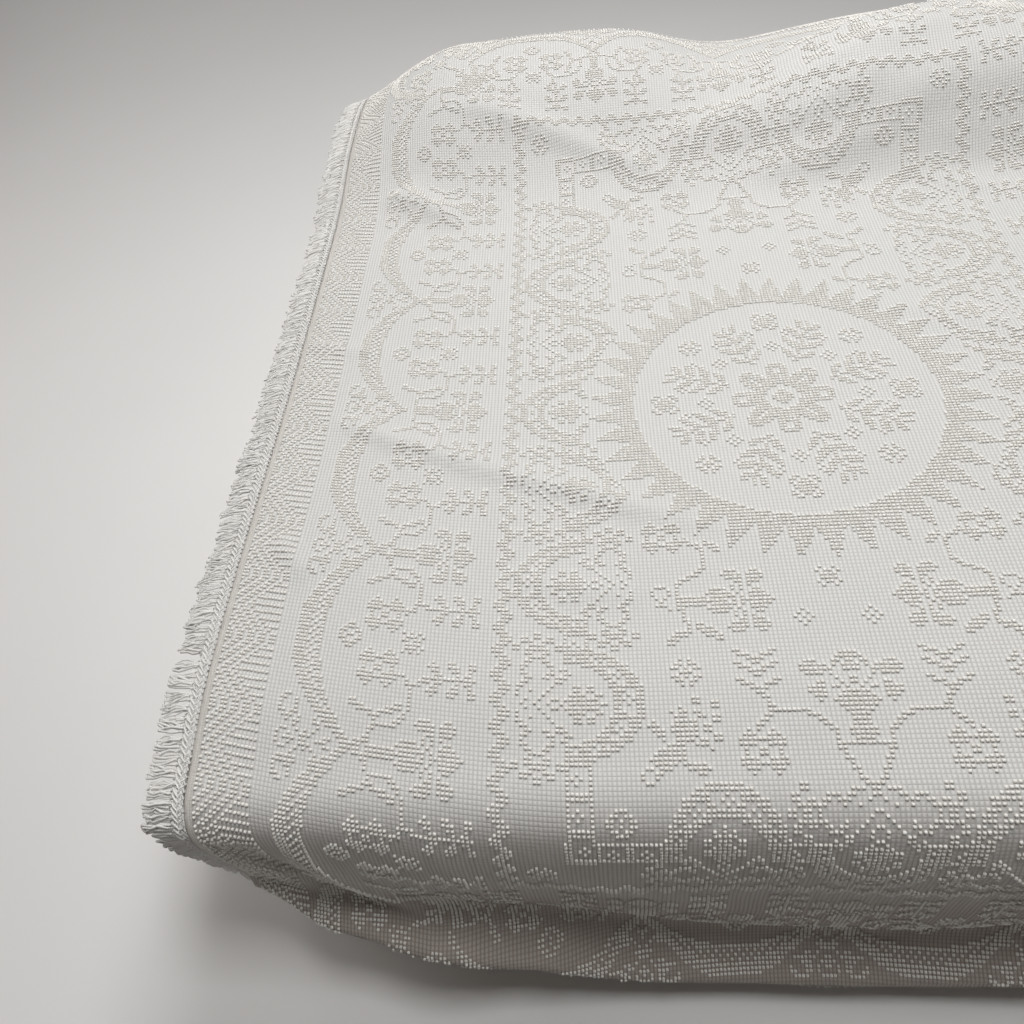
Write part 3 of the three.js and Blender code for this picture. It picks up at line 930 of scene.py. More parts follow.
def tube(path, facing, radius):
    """Points of a yarn round each of many paths, (paths, steps, 3), with closed ends."""
    ahead = unit(np.gradient(path, axis=1))
    beside = unit(np.cross(ahead, facing))
    up = np.cross(beside, ahead)
    turns = np.arange(YARN_SIDES) / YARN_SIDES * 2 * HALF_TURN
    c, s = np.cos(turns)[:, None], np.sin(turns)[:, None]
    ring = c * beside[:, :, None, :] + s * up[:, :, None, :]
    points = path[:, :, None, :] + radius[:, :, None, None] * ring
    many, steps = path.shape[:2]
    offsets = np.arange(many)[:, None, None] * steps * YARN_SIDES
    around = grid_faces(steps, YARN_SIDES, closed=True) + offsets
    start = np.arange(YARN_SIDES)
    end = (steps - 1) * YARN_SIDES + start[::-1]
    caps = np.stack([start + offsets, end + offsets])
    return points.reshape(-1, 3), [part.reshape(-1, part.shape[-1]) for part in (around, caps)]


def joined(parts):
    points, faces, count = [], [], 0
    for some_points, some_faces in parts:
        points.append(some_points)
        faces += [face + count for face in some_faces]
        count += len(some_points)
    return np.concatenate(points), faces


# ------ materials

class Look:
    """A material, with short ways to add nodes to it. A value is a number or a node's output."""

    def __init__(self, name, roughness, sheen=0.0):
        self.made = bpy.data.materials.new(name)
        self.made.use_nodes = True
        self.tree = self.made.node_tree
        self.shader = self.tree.nodes["Principled BSDF"].inputs
        for socket, value in (("Roughness", roughness), ("Sheen Weight", sheen),
                              ("Sheen Roughness", 0.6), ("Specular IOR Level", 0.25)):
            self.shader[socket].default_value = value

    def feed(self, socket, value):
        if isinstance(value, (int, float)):
            socket.default_value = value
        elif isinstance(value, tuple):
            socket.default_value = (*value, 1)
        else:
            self.tree.links.new(value, socket)

    def add(self, kind, values=(), **settings):
        """Adds a node, feeds its inputs by name or number, and gives its outputs."""
        made = self.tree.nodes.new(kind)
        for name, value in settings.items():
            setattr(made, name, value)
        for socket, value in values:
            self.feed(made.inputs[socket], value)
        return made.outputs

    def maths(self, operation, *values):
        return self.add("ShaderNodeMath", enumerate(values), operation=operation)[0]

    def times(self, first, second):
        return self.maths("MULTIPLY", first, second)

    def plus(self, first, second):
        return self.maths("ADD", first, second)

    def distance(self, first, second):
        return self.maths("ABSOLUTE", self.maths("SUBTRACT", first, second))

    def ribs(self, place, pitch):
        """Rounded ribs from 0 in their grooves to 1 on their crowns."""
        return self.maths("ABSOLUTE", self.maths("SINE", self.times(place, HALF_TURN / pitch)))

    def blend(self, share, low, high):
        values = ((0, share), (6, low), (7, high))
        return self.add("ShaderNodeMix", values, data_type="RGBA")[2]

    def noise(self, place, scale, detail):
        values = (("Scale", scale), ("Detail", detail), ("Vector", place))
        return self.add("ShaderNodeTexNoise", values)["Fac"]

    def kept(self, name):
        """A number that set_value keeps on the piece."""
        return self.add("ShaderNodeAttribute", attribute_name=name)["Fac"]

    def place(self):
        return self.add("ShaderNodeTexCoord")["Object"]

    def apart(self, place):
        return self.add("ShaderNodeSeparateXYZ", ((0, place),))

    def across_and_along(self):
        """The piece's own UV map, in metres of cloth across and along."""
        uv = self.add("ShaderNodeUVMap", uv_map="UVMap")[0]
        return (uv, *self.apart(uv)[:2])

    def relief(self, height, strength, distance):
        values = (("Strength", strength), ("Distance", distance), ("Height", height))
        self.feed(self.shader["Normal"], self.add("ShaderNodeBump", values)["Normal"])

    def painted(self, colour):
        self.feed(self.shader["Base Color"], colour)
        return self.made


def cotton_ground():
    """The woven ground: cords along the cloth, crossed by finer ones, with faint slubs, painted
    shade in their grooves, and darker, browner painted shade where it hangs over the foot end.
    """
    look = Look("candlewick_ground", 0.9, sheen=0.12)
    uv, across, along = look.across_and_along()
    pads = look.times(look.maths("POWER", look.ribs(across, CELL), 0.9),
                      look.maths("POWER", look.ribs(along, CELL), 0.35))
    yarns = look.times(look.ribs(across, CELL / 5), look.ribs(along, CELL / 5))
    slubs = look.noise(uv, 160.0, 3.0)
    height = look.plus(look.plus(pads, look.times(yarns, 0.12)), look.times(slubs, 0.5))
    look.relief(height, 0.85, 1.2 * MM)
    # painted shade: the ground is darker in the grooves between its pads and lighter on their
    # crowns
    groove = look.blend(pads, (0.54, 0.525, 0.50), (0.735, 0.74, 0.735))
    # painted shade: where the cloth hangs over the foot end, the ground is painted darker and
    # browner in place of the shade under the foot edge and in the valley above the roll
    painted_drop_shade = look.blend(pads, (0.29, 0.245, 0.21), (0.50, 0.455, 0.415))
    patches = look.noise(uv, 3.0, 3.0)
    warm = look.blend(look.times(patches, 0.35), groove, (0.71, 0.69, 0.65))
    return look.painted(look.blend(look.kept("hangs"), warm, painted_drop_shade))


def cotton_tufts():
    """Soft cream loops, with painted shade at their roots, dark in between where they leave the
    cloth.
    """
    look = Look("candlewick_tufts", 0.95, sheen=0.2)
    look.relief(look.noise(look.place(), 900.0, 2.0), 0.6, 0.8 * MM)
    body = look.blend(look.kept("shade"), (0.84, 0.82, 0.77), (0.93, 0.92, 0.89))
    # painted shade at the roots: the colour runs from dark brown at the root to the cream body as
    # rise grows
    out_of_the_root = look.maths("POWER", look.kept("rise"), 0.5)
    return look.painted(look.blend(out_of_the_root, (0.53, 0.475, 0.40), body))


def fringe_yarn():
    """Yarn of two plies, which wind round it."""
    look = Look("fringe_yarn", 0.95, sheen=0.2)
    along, around = look.across_and_along()[1:]
    plies = look.ribs(look.plus(look.times(along, 1 / (2.6 * MM)), around), 1)
    look.relief(plies, 0.7, 0.8 * MM)
    body = look.blend(look.kept("shade"), (0.87, 0.86, 0.83), (0.95, 0.945, 0.93))
    # painted shade: the yarn is darker in the grooves between its plies
    return look.painted(look.blend(plies, (0.74, 0.715, 0.67), body))


def sewn_tape():
    """A fine twill tape, sewn down with two lines of stitches."""
    look = Look("twill_tape", 0.88, sheen=0.1)
    uv, across, along = look.across_and_along()
    twill = look.ribs(look.plus(across, look.times(along, 0.7)), 1.0 * MM)
    from_line = look.distance(look.distance(across, 9.6 * MM), 2.0 * MM)
    dashes = look.maths("GREATER_THAN", look.ribs(along, 4.2 * MM), 0.5)
    stitches = look.times(look.maths("LESS_THAN", from_line, 0.9 * MM), dashes)
    look.relief(look.plus(look.times(twill, 0.35), stitches), 1.0, 1.3 * MM)
    ground = look.blend(look.noise(uv, 14.0, 3.0), (0.71, 0.67, 0.61), (0.79, 0.76, 0.71))
    return look.painted(look.blend(stitches, ground, (0.93, 0.91, 0.87)))


def woven_cover(name, low, high, pitch, stripe=None):
    """Plain woven cloth on Object coordinates, with soft stripes where asked for."""
    look = Look(name, 0.9, sheen=0.1)
    place = look.place()
    x, y, z = look.apart(place)
    level = look.plus(x, y)
    weave = look.times(look.ribs(level, pitch), look.ribs(look.plus(z, x), pitch))
    look.relief(weave, 0.5, 0.6 * MM)
    colour = look.blend(look.noise(place, 9.0, 3.0), low, high)
    if stripe:
        line = look.maths("GREATER_THAN", look.ribs(level, 24 * MM), 0.93)
        colour = look.blend(look.times(line, 0.5), colour, stripe)
    return look.painted(colour)


def pale_floor():
    look = Look("floor", 0.7)
    patches = look.noise(look.place(), 1.5, 2.0)
    return look.painted(look.blend(patches, (0.82, 0.81, 0.80), (0.86, 0.85, 0.84)))


# ------ the bedspread

CLOTH_HALF = 1.2 * MM             # half the cloth's own thickness
LEFT_LINES, RIGHT_LINES = 90, 46  # of the cloth's mesh, closer together where it's creased most
FOOT_MESH_ROWS, FLAT_MESH_ROWS, HEAD_MESH_ROWS = 58, 88, 70
HEAD_LENGTH = 880 * MM


def mesh_lines():
    """The grid of the cloth's mesh: places across, and distances along the cloth for each."""
    across = np.concatenate([np.linspace(-HEM, 0, LEFT_LINES, endpoint=False),
                             np.linspace(0, HEM, RIGHT_LINES)])
    shares = np.linspace(1, 0, FOOT_MESH_ROWS, endpoint=False)
    foot = -TO_FOOT_EDGE - foot_lengths(across)[:, None] * shares
    flat = np.linspace(-TO_FOOT_EDGE, HEAD_START, FLAT_MESH_ROWS)
    head = np.linspace(HEAD_START, HEAD_START + HEAD_LENGTH, HEAD_MESH_ROWS)[1:]
    rest = np.concatenate([flat, head])
    return across, np.hstack([foot, np.tile(rest, (len(across), 1))])


def on_the_mesh(grid_across, grid_rows, grid_points, across, rows):
    """Points of the cloth's mesh at many places, so that what is sewn to it lies on it."""
    lines = np.interp(across, grid_across, np.arange(len(grid_across)))
    points = np.zeros((*rows.shape, 3))
    for i, line in enumerate(lines):
        low = min(int(line), len(grid_across) - 2)
        for k, share in ((low, 1 - (line - low)), (low + 1, line - low)):
            points[i] += share * at_distance((grid_rows[k], grid_points[k]), rows[i])
    return points


def bedspread(across, rows, middle):
    thick = surface_normals(middle) * CLOTH_HALF
    points, faces = sheet_between(middle + thick, middle - thick)
    piece = new_piece("candlewick_cloth", points, faces, GROUND, "candlewick_cotton", "bedspread")
    set_uv(piece, np.tile(pairs(across[:, None], rows - weave_shift(across)[:, None]), (2, 1)))
    past = -TO_FOOT_EDGE - rows
    # how much painted shade the ground gets: it rises past the foot edge and again lower down the
    # drop
    hangs = 0.55 * smooth((past + 0.02) / 0.16) + 0.45 * smooth((past - 0.2) / 0.14)
    set_value(piece, "hangs", np.tile(hangs.ravel(), 2))
    return piece


def tuft_shapes(places, across_way, along_way, normals):
    """A low round loop for each tuft: two rings of four and a tip, closed underneath."""
    many = len(places)
    hangs = -across_way[:, 2:3] * across_way - along_way[:, 2:3] * along_way
    steep = np.linalg.norm(hangs, axis=1)
    wide = rng.uniform(2.05, 2.5, many) * (1 - 0.14 * steep) * MM
    long = rng.uniform(2.0, 2.5, many) * (1 - 0.24 * steep) * MM
    high = rng.uniform(2.9, 3.6, many)[:, None] * (1 + 0.1 * steep[:, None]) * MM
    turn = rng.uniform(-0.3, 0.3, many)[:, None]
    x = wide[:, None] * (np.cos(turn) * across_way + np.sin(turn) * along_way)
    y = long[:, None] * (np.cos(turn) * along_way - np.sin(turn) * across_way)
    jitter = rng.uniform(-0.35, 0.35, (many, 2)) * MM
    places = places + jitter[:, :1] * across_way + jitter[:, 1:] * along_way
    points = [places + share * (corner_x * x + corner_y * y)
              + level * high * normals + sag * MM * hangs
              for share, level, sag in ((0.8, -0.15, 0), (1.0, 0.6, 0.8))
              for corner_x, corner_y in ((1, 1), (-1, 1), (-1, -1), (1, -1))]
    points.append(places + high * normals + 1.2 * MM * hangs)
    one = []
    for k in range(4):
        after = (k + 1) % 4
        one += [(k, after, 4 + after), (k, 4 + after, 4 + k), (4 + k, 4 + after, 8)]
    one += [(0, 3, 2), (0, 2, 1)]
    faces = (np.array(one) + 9 * np.arange(many)[:, None, None]).reshape(-1, 3)
    # the painted shade at the roots is weaker on hanging tufts
    rise = np.tile([0.0] * 4 + [0.8] * 4 + [1.0], many)
    rise = np.maximum(rise, np.repeat(0.7 * smooth((steep - 0.3) / 0.5), 9))
    shade = np.repeat(rng.uniform(0, 1, many), 9)
    return np.stack(points, axis=1).reshape(-1, 3), faces, rise, shade


# zones of the tufts, by how far along the cloth they start and end
TUFT_ZONES = [
    ("tufts_foot_drop", -2.0, -0.67), ("tufts_foot_half", -0.67, -0.2), ("tufts_middle", -0.2, 0.3),
    ("tufts_head_half", 0.3, 0.86), ("tufts_pillow_hump", 0.86, 2.0),
]


def all_tufts(grid_across, grid_rows, grid_points):
    chart = whole_chart()
    across, along = ((np.arange(2 * cells) + 0.5 - cells) * CELL
                     for cells in (ACROSS_CELLS, ALONG_CELLS))
    on_cloth = np.abs(across) < HEM
    across, chart = across[on_cloth], chart[on_cloth]
    rows = along[None, :] + weave_shift(across)[:, None]
    surface = on_the_mesh(grid_across, grid_rows, grid_points, across, rows)
    normals = surface_normals(surface)
    across_way = unit(np.gradient(surface, axis=0))
    along_way = np.cross(normals, across_way)
    # none under the roll, in the tuck or on the head hem
    lasts = np.zeros((len(across), 1))
    for i, place in enumerate(across):
        distances, line = foot_line(place)
        lowest = distances[np.argmin(line[:, 1])]
        lasts[i] = min(lowest + 50 * MM, distances[-1] - TUCK_DEPTH - 10 * MM) - LEAD_IN
    seen = (-TO_FOOT_EDGE - rows < lasts) & (rows < HEAD_START + HEAD_LENGTH - 10 * MM)
    pieces = []
    for name, start, end in TUFT_ZONES:
        here = chart & seen & (rows >= start) & (rows < end)
        places = surface[here] + normals[here] * CLOTH_HALF
        points, faces, rise, shade = tuft_shapes(
            places, across_way[here], along_way[here], normals[here])
        piece = new_piece(name, points, [faces], TUFTS, "candlewick_cotton")
        set_value(piece, "rise", rise)
        set_value(piece, "shade", shade)
        pieces.append(piece)
    return pieces


# ------ tape and fringe

SIDES = {"left": -1, "right": 1}
TAPE_EDGES = (1.5 * MM, 14 * MM)       # from the hem
TAPE_THICK = 0.8 * MM
HEADING, FRINGE_LENGTH = 21 * MM, 76 * MM
LOOP_PITCH = 4.7 * MM
YARN = 2.0 * MM
LEG_STEPS, TURN_STEPS = 5, 2           # of a loop's path
GAP_PLACE, GAP_LOOPS = 470 * MM, 3     # loops missing on the left, this far up from the tuck
# how steeply the fringe droops at its root and its end, on the level and where the hem falls by
# as much as STEEP_FROM, as angles
DROOP_LEVEL, DROOP_STEEP, STEEP_FROM = (0.16, 0.42), (1.2, 1.5), 230 * MM
SEWN_SHARE, SEWN_STEPS = 0.7, 220      # the tape and fringe start here on the line into the tuck


def sewn_rows(side):
    """Distances along the cloth down one long edge, where the tape and the fringe are sewn on."""
    start = -TO_FOOT_EDGE - SEWN_SHARE * foot_lengths([side * HEM])[0]
    return np.linspace(start, HEAD_START + HEAD_LENGTH - 2 * MM, SEWN_STEPS)


def edge_tape(hand):
    side = SIDES[hand]
    rows = sewn_rows(side)
    in_from_hem = np.linspace(*TAPE_EDGES, 4)[::-side]
    middle = cloth_surface(side * (HEM - in_from_hem), np.tile(rows, (4, 1)))
    normals = surface_normals(middle)
    puckers = 0.25 * MM * np.sin(rows / (11 * MM) * HALF_TURN)[None, :, None]
    under = middle + normals * (CLOTH_HALF + 0.15 * MM)
    points, faces = sheet_between(under + normals * (TAPE_THICK + puckers), under)
    piece = new_piece("tape_" + hand, points, faces, TAPE, "edge_tape", "edge_tape_" + hand)
    set_uv(piece, np.tile(pairs(in_from_hem[:, None], distance_along(middle[0])), (2, 1)))
    return piece


def fringe_surface(side):
    """The soft sheet that the fringe's yarns lie in: place(run, out) gives points and normals."""
    hem = cloth_surface([side * HEM], sewn_rows(side)[None, :])[0]
    run = distance_along(hem)
    steps = np.linspace(0, 1.25 * FRINGE_LENGTH, 26)
    gap = steps[1] - steps[0]

    def place(where, out, lift=0.0):
        where, out = np.broadcast_arrays(where, out)
        start = np.stack([np.interp(where, run, hem[:, k]) for k in range(3)], axis=-1)
        steepness = smooth((CLOTH_LEVEL - start[..., 2]) / STEEP_FROM)[..., None]
        first, last = (mix(level, steep, steepness)
                       for level, steep in zip(DROOP_LEVEL, DROOP_STEEP))
        angles = mix(first, last, np.clip(steps / FRINGE_LENGTH, 0, 1.2))
        k = np.clip(out / gap - 1, 0, len(steps) - 2)
        low = np.floor(k).astype(int)

        def pick(values):
            before, after = (np.take_along_axis(values, near[..., None], -1)[..., 0]
                             for near in (low, low + 1))
            return mix(before, after, k - low)

        level, down = (pick(np.cumsum(part, axis=-1) * gap) * np.clip(out / gap, 0, 1)
                       for part in (np.cos(angles), np.sin(angles)))
        angle = pick(angles)
        none = np.zeros_like(angle)
        facing = np.stack([side * np.sin(angle), none, np.cos(angle)], axis=-1)
        points = start + np.stack([side * level, none, -down], axis=-1)
        points = points + facing * np.asarray(lift)[..., None]
        points[..., 0] -= side * 0.9 * MM
        return points, facing

    return place, run[-1]


def net_yarns(place, where, length):
    """Two crossing layers of slanting yarns, which make the netted heading."""
    yarns = []
    for lean, lift in ((1.2, 2.4), (-0.9, 1.8)):
        out = np.linspace(0, HEADING + 3 * MM, 4)
        slide = where[::2] + lean * (out - HEADING / 2)
        slide = slide + rng.uniform(-1.5, 1.5, slide.shape) * MM
        over_and_under = (lift + math.copysign(1.8, lean) * np.array([1, -1, 1, -1])) * MM
        path, facing = place(np.clip(slide, 0, length), out, over_and_under)
        yarns.append((path, facing, 0.85 * YARN, out))
    return yarns


def loop_bunches(where):
    """Loops leave the net in bunches of three or four. Gives, for each loop, how far it is pulled
    to the middle of its bunch, and its bunch's share of the full length, sway and height."""
    pull, reach, sway, raised = np.zeros((4, *where.shape))
    ends = [0]
    while ends[-1] < len(where):
        ends.append(ends[-1] + int(rng.integers(3, 5)))
    for first, last in zip(ends[:-1], ends[1:]):
        here = slice(first, last)
        pull[here] = where[here].mean() - where[here]
        reach[here] = rng.uniform(0.87, 1.04)
        sway[here] = rng.normal(0.5, 3.2) * MM
        raised[here] = rng.uniform(-1.5, 2.5) * MM
    return pull, reach, sway, raised


def loop_yarns(side, place, where, length):
    """The loops, drawn together where they leave the net and spread again towards their ends."""
    pull, reach, sway, raised = loop_bunches(where)
    fallen = smooth((CLOTH_LEVEL - place(where, np.zeros(where.shape))[0][..., 2]) / 0.11)
    reach = (reach + rng.normal(0, 0.035, where.shape)) * (1 - 0.4 * fallen) * FRINGE_LENGTH
    start = HEADING - 6 * MM
    leg = start + np.linspace(0, 1, LEG_STEPS) * (reach - start)
    turn = np.linspace(0, HALF_TURN, TURN_STEPS + 2)[1:-1]
    out = np.hstack([leg, reach + 2.0 * MM * np.sin(turn), leg[:, ::-1]])
    half = rng.uniform(1.5, 2.4, where.shape) * MM
    legs = np.concatenate([np.full(LEG_STEPS, -1.0), -np.cos(turn), np.full(LEG_STEPS, 1.0)])
    share = np.clip((out - start) / (reach - start), 0, 1)
    gather = 0.62 * bell(share - 0.24, 0.3) + 0.1 * share
    curl = rng.normal(0, 3.0, where.shape) * MM
    waves, shift = rng.uniform(6, 12, where.shape), rng.uniform(0, 6, where.shape)
    wiggle = 2.0 * MM * np.sin(share * waves + shift + legs)
    slide = (where + legs * half + gather * pull + share ** 2 * (sway + curl)
             + wiggle * smooth(share * 3))
    lift = (rng.uniform(-1.5, 2.0, where.shape) * MM + raised + 1 * MM) * smooth(share * 2)
    path, facing = place(np.clip(slide, 0, length), out, lift + 0.9 * MM * legs * (share < 0.98))
    kept = np.ones(len(where), bool)
    if side < 0:
        gone = np.argmin(np.abs(where - GAP_PLACE))
        kept[gone:gone + GAP_LOOPS] = False
    return path[kept], facing[kept], YARN, out[kept]


def fringe(hand):
    side = SIDES[hand]
    place, length = fringe_surface(side)
    many = int(length / LOOP_PITCH)
    where = (np.arange(many)[:, None] + 0.5) * length / many
    parts, uv, shade = [], [], []
    yarns = [*net_yarns(place, where, length), loop_yarns(side, place, where, length)]
    for path, facing, radius, out in yarns:
        swell = radius * (1 + 0.18 * np.sin(out * 900 + path[:, :1, 1] * 500))
        parts.append(tube(path, facing, swell))
        uv.append(pairs(distance_along(path)[:, :, None], np.arange(YARN_SIDES) / YARN_SIDES * 2))
        shade.append(np.repeat(rng.uniform(0.2, 1, len(path)), path.shape[1] * YARN_SIDES))
    points, faces = joined(parts)
    piece = new_piece("fringe_yarns_" + hand, points, faces, YARNS,
                      "candlewick_cotton", "fringe_" + hand)
    set_uv(piece, np.concatenate(uv))
    set_value(piece, "shade", np.concatenate(shade))
    return piece


# ------ pillows, mattress and base

PILLOW_FLOOR = MATTRESS_HIGH[2] + 0.4 * MM
PILLOW_SEAM = 42 * MM              # height of the pillow's side seam over its floor
PILLOW_CORNERS = 96
# each ring's share of the half width, and its share of the seam's height where it is under the seam
PILLOW_RINGS = [(0.9, 0.0), (0.955, 0.12), (0.985, 0.45), (1.0, 1.0)]
PILLOW_RINGS += [(share, None) for share in (0.97, 0.92, 0.84, 0.73, 0.6, 0.45, 0.3, 0.14)]
CORNER_STEPS, CORNER_RADIUS = 10, 70 * MM
LOW_EDGE, TOP_EDGE = 20 * MM, 60 * MM  # how far the mattress rounds off at its bottom and its top
PIPING_SIDES, PIPING_RADIUS = 6, 2.3 * MM


def pillow(hand):
    """A crowned pillow with pulled-out corners and a seam round its side."""
    node_name = "pillow_" + hand
    low, high = (np.array(corner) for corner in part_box(node_name))
    middle, half = (low + high) / 2, (high - low) / 2
    angles = np.arange(PILLOW_CORNERS) / PILLOW_CORNERS * 2 * HALF_TURN
    c, s = np.cos(angles), np.sin(angles)
    reach = (np.abs(c) ** 4 + np.abs(s) ** 4) ** -0.25
    corner_share = np.abs(np.sin(2 * angles)) ** 4
    rings = []
    for k, (share, level) in enumerate(PILLOW_RINGS, start=1):
        spread = share * (1 - 0.012 * (1 - corner_share)) * reach
        x, y = middle[0] + spread * c * half[0], middle[1] + spread * s * half[1]
        if level is not None:
            z = PILLOW_FLOOR + 0.5 * MM + level * PILLOW_SEAM
        else:
            filled = mix(PILLOW_SEAM, high[2] - PILLOW_FLOOR - 3 * MM, math.sqrt(1 - share ** 2.4))
            flat_corner = 1 - 0.12 * corner_share * share ** 3
            wrinkle = np.abs(np.sin(angles * 24 + 1.5 * k) * corner_share * share ** 4)
            z = PILLOW_FLOOR + PILLOW_SEAM + (filled - PILLOW_SEAM) * flat_corner
            z = z - 2.0 * MM * wrinkle
        under_cloth = cloth_height_over(x, y) - 8 * MM * (1 + share)
        under_cloth = np.maximum(under_cloth, PILLOW_FLOOR + 0.4 * MM * k)
        rings.append(np.column_stack([x, y, np.minimum(z, under_cloth)]))
    ends = ((*middle[:2], PILLOW_FLOOR + 0.5 * MM), (*middle[:2], rings[-1][:, 2].max() + 0.5 * MM))
    piece = new_piece("pillow_under_" + hand, *closed_stack(rings, *ends), PILLOW_COTTON,
                      "pillow_cover", node_name)


def cloth_height_over(x, y):
    """Height of the cloth's underside over a place, from a coarse grid kept for it."""
    across, along, height = PILLOW_ROOF
    i = np.clip(np.interp(x, across, np.arange(len(across))), 0, len(across) - 1.001)
    j = np.clip(np.interp(y, along, np.arange(len(along))), 0, len(along) - 1.001)
    a, b = i.astype(int), j.astype(int)
    u, v = i - a, j - b
    return ((1 - u) * (1 - v) * height[a, b] + u * (1 - v) * height[a + 1, b]
            + (1 - u) * v * height[a, b + 1] + u * v * height[a + 1, b + 1])


def roof_over_pillows():
    across = np.linspace(-0.93, 0.93, 94)
    along = PATTERN_MIDDLE + np.linspace(0.56, 1.25, 70)
    height = np.zeros((len(across), len(along)))
    for i, place in enumerate(across):
        _, line = head_line(place)
        order = np.argsort(line[:, 0])
        height[i] = np.interp(along, line[order, 0], line[order, 1]) - CLOTH_HALF
    return across, along, height


def rounded_ring(inset_x, inset_y, height):
    """A level ring of points round the mattress, inset from its box, with its corners rounded."""
    half_x, half_y = (MATTRESS_HIGH - MATTRESS_LOW)[:2] / 2 - (inset_x, inset_y)
    corner_x, corner_y = CORNER_RADIUS - inset_x, CORNER_RADIUS - inset_y
    points = []
    for corner, (side_x, side_y) in enumerate(((1, 1), (-1, 1), (-1, -1), (1, -1))):
        for angle in (corner + np.arange(CORNER_STEPS + 1) / CORNER_STEPS) * HALF_TURN / 2:
            points.append((side_x * (half_x - corner_x) + corner_x * math.cos(angle),
                           side_y * (half_y - corner_y) + corner_y * math.sin(angle), height))
    # more points down the straight sides, so that a quilted side can move in and out
    points = np.array(points)
    full = []
    for a, b in zip(points, np.roll(points, -1, axis=0)):
        parts = max(1, int(np.linalg.norm(b - a) / (50 * MM)))
        full.append(a + (b - a) * np.linspace(0, 1, parts, endpoint=False)[:, None])
    return np.concatenate(full)


def closed_stack(rings, low, high):
    """Points and faces of a body of level rings, closed by a point at its bottom and one on top."""
    count, corners = len(rings), len(rings[0])
    points = np.concatenate([*rings, [low, high]])
    around = grid_faces(count, corners, closed=True)[:, ::-1]
    k = np.arange(corners)
    after, top = (k + 1) % corners, (count - 1) * corners
    under = np.column_stack([np.full(corners, count * corners), after, k])
    over = np.column_stack([np.full(corners, count * corners + 1), top + k, top + after])
    return points, [around, under, over]


def mattress():
    """A mattress with rounded edges and a border drawn in by two lines of quilting."""
    floor, top = MATTRESS_LOW[2], MATTRESS_HIGH[2]
    rings = []
    for step in range(4):
        angle = step / 4 * HALF_TURN / 2
        inset = LOW_EDGE * (1 - math.sin(angle)) + 0.3 * MM
        rings.append(rounded_ring(inset, inset, floor + LOW_EDGE * (1 - math.cos(angle))))
    for share in np.linspace(0, 1, 13):
        drawn = 0.3 * MM + 3.5 * MM * (bell(share - 0.33, 0.06) + bell(share - 0.67, 0.06))
        rings.append(rounded_ring(drawn, drawn, mix(floor + LOW_EDGE, top - TOP_EDGE, share)))
    for step in range(1, 9):
        angle = step / 8 * HALF_TURN / 2
        inset = 1 - math.cos(angle)
        rings.append(rounded_ring(EDGE_SIDE * inset + 0.3 * MM, EDGE_END * inset + 0.3 * MM,
                                  top - TOP_EDGE * (1 - math.sin(angle))))
    middle = rings[0].mean(axis=0)
    ends = ((*middle[:2], floor), (*middle[:2], rings[-1][:, 2].mean()))
    piece = new_piece("mattress_cover", *closed_stack(rings, *ends), TICKING,
                      "mattress_ticking", "mattress")


def mattress_piping():
    """Two piped seams round the mattress, at the top and the bottom of its border."""
    parts = []
    turns = np.arange(PIPING_SIDES) / PIPING_SIDES * 2 * HALF_TURN
    for height in (MATTRESS_LOW[2] + 24 * MM, MATTRESS_HIGH[2] - 66 * MM):
        ring = rounded_ring(2.6 * MM, 2.6 * MM, height)
        outward = np.cross(unit(np.roll(ring, -1, axis=0) - np.roll(ring, 1, axis=0)), [0, 0, 1])
        round_it = (np.cos(turns)[:, None] * outward[:, None]
                    + np.sin(turns)[:, None] * np.array([0, 0, 1]))
        points = (ring[:, None] + PIPING_RADIUS * round_it).reshape(-1, 3)
        faces = grid_faces(len(ring), PIPING_SIDES, closed=True, looped=True)
        parts.append((points, [faces[:, ::-1]]))
    new_piece("mattress_piping", *joined(parts), PIPING, "mattress_ticking")


def bed_base():
    """The base, covered in cloth: a box with soft edges, stepped where the cloth is tucked in."""
    low, high = BASE_LOW, BASE_HIGH
    bpy.ops.object.select_all(action="DESELECT")
    bpy.ops.mesh.primitive_cube_add(
        size=1, location=tuple((low + high) / 2), scale=tuple(high - low))
    piece = bpy.context.object
    piece.name = "base_upholstery"
    bpy.ops.object.transform_apply(location=True, rotation=False, scale=True)
    bpy.ops.object.mode_set(mode="EDIT")
    bpy.ops.mesh.select_all(action="SELECT")
    bpy.ops.mesh.bisect(plane_co=(0, low[1] + TUCK_DEPTH, 0), plane_no=(0, 1, 0))
    bpy.ops.mesh.select_all(action="DESELECT")
    bpy.ops.mesh.select_mode(type="FACE")
    bpy.ops.object.mode_set(mode="OBJECT")
    for face in piece.data.polygons:
        face.select = bool(face.normal.z > 0.9 and face.center.y < low[1] + TUCK_DEPTH)
    bpy.ops.object.mode_set(mode="EDIT")
    step_down = CLOTH_SOLID + 2 * TUCK_GAP - 0.4 * MM
    bpy.ops.mesh.extrude_region_move(TRANSFORM_OT_translate={"value": (0, 0, -step_down)})
    bpy.ops.object.mode_set(mode="OBJECT")
    bpy.ops.object.modifier_add(type="BEVEL")
    bevel = piece.modifiers[-1]
    bevel.width = 2.5 * MM
    bevel.segments = 3
    bevel.limit_method = "ANGLE"
    bpy.ops.object.modifier_apply(modifier=bevel.name)
    bpy.ops.object.shade_smooth_by_angle(angle=math.radians(40))
    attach(piece, "root")
    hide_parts("bed_base")
    give(piece, BASE_CLOTH)


# ------ floor and light

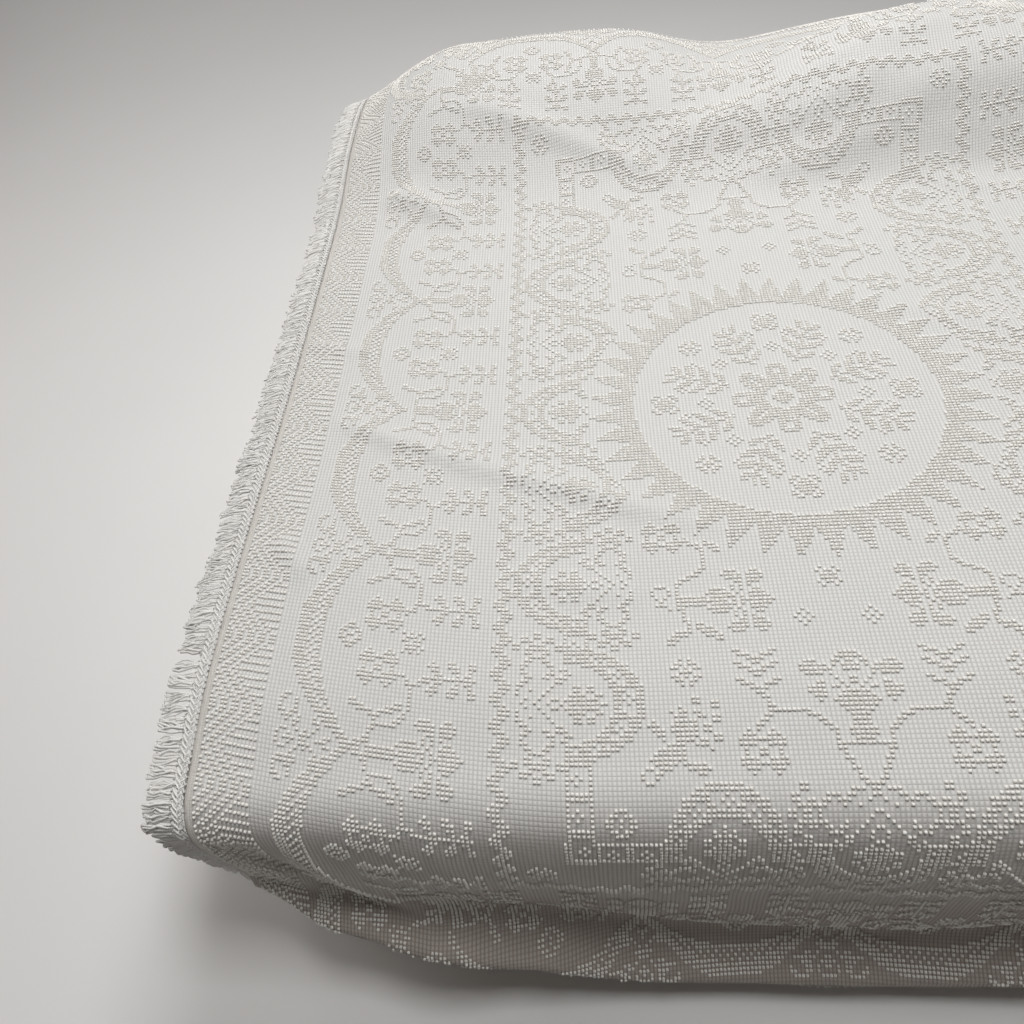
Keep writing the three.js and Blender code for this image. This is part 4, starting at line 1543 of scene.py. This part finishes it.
def floor_and_light():
    bpy.ops.object.select_all(action="DESELECT")
    bpy.ops.mesh.primitive_plane_add(size=40, location=(0, 0, 0))
    floor = bpy.context.object
    floor.name = "floor"
    give(floor, pale_floor())
    # name, place, the point it is aimed at, its width, its power and its colour
    lights = (
        ("over_the_head_end", (0.1, 1.0, 3.45), (0.0, 0.0, 0.5), 1.3, 60.0, (1.0, 1.0, 1.0)),
        ("over_the_foot_end", (0.1, -0.55, 3.6), (0.1, -0.55, 0.5), 0.8, 42.0, (1.0, 1.0, 1.0)),
        ("left_of_the_bed", (-3.4, 0.4, 2.8), (-1.5, 0.0, 0.1), 1.6, 22.0, (1.0, 0.98, 0.96)),
        ("behind_the_head_end", (-3.0, 4.2, 3.8), (-2.8, 4.0, 0.0), 2.6, 40.0, (1.0, 0.99, 0.98)),
    )
    for name, place, target, size, power, colour in lights:
        data = bpy.data.lights.new(name, "AREA")
        data.size = size
        data.energy = power
        data.color = colour
        light = bpy.data.objects.new(name, data)
        bpy.context.scene.collection.objects.link(light)
        light.location = place
        aim = Vector(target) - Vector(place)
        light.rotation_euler = aim.to_track_quat("-Z", "Y").to_euler()
    world = bpy.data.worlds.new("room")
    bpy.context.scene.world = world
    world.use_nodes = True
    background = world.node_tree.nodes["Background"]
    background.inputs["Color"].default_value = (1.0, 0.94, 0.88, 1)
    background.inputs["Strength"].default_value = 0.095
    bpy.context.scene.view_settings.view_transform = "Standard"


# ------ the whole bed

place_camera()
GROUND, TUFTS, YARNS, TAPE = cotton_ground(), cotton_tufts(), fringe_yarn(), sewn_tape()
PILLOW_COTTON = woven_cover("pillow_cotton", (0.80, 0.79, 0.77), (0.85, 0.845, 0.83), 1.2 * MM)
TICKING = woven_cover("ticking", (0.74, 0.72, 0.68), (0.80, 0.785, 0.75), 1.4 * MM,
                      stripe=(0.52, 0.53, 0.55))
PIPING = woven_cover("piping", (0.66, 0.64, 0.60), (0.72, 0.70, 0.66), 1.4 * MM)
BASE_CLOTH = woven_cover("base_cloth", (0.46, 0.43, 0.39), (0.53, 0.50, 0.45), 2.2 * MM)
PILLOW_ROOF = roof_over_pillows()

across_lines, lines_down = mesh_lines()
cloth_middle = cloth_surface(across_lines, lines_down)
cloth = bedspread(across_lines, lines_down, cloth_middle)
tufts = all_tufts(across_lines, lines_down, cloth_middle)
sewn = [make(hand) for make in (edge_tape, fringe) for hand in SIDES]
mattress()
mattress_piping()
for hand in SIDES:
    pillow(hand)
bed_base()
floor_and_light()
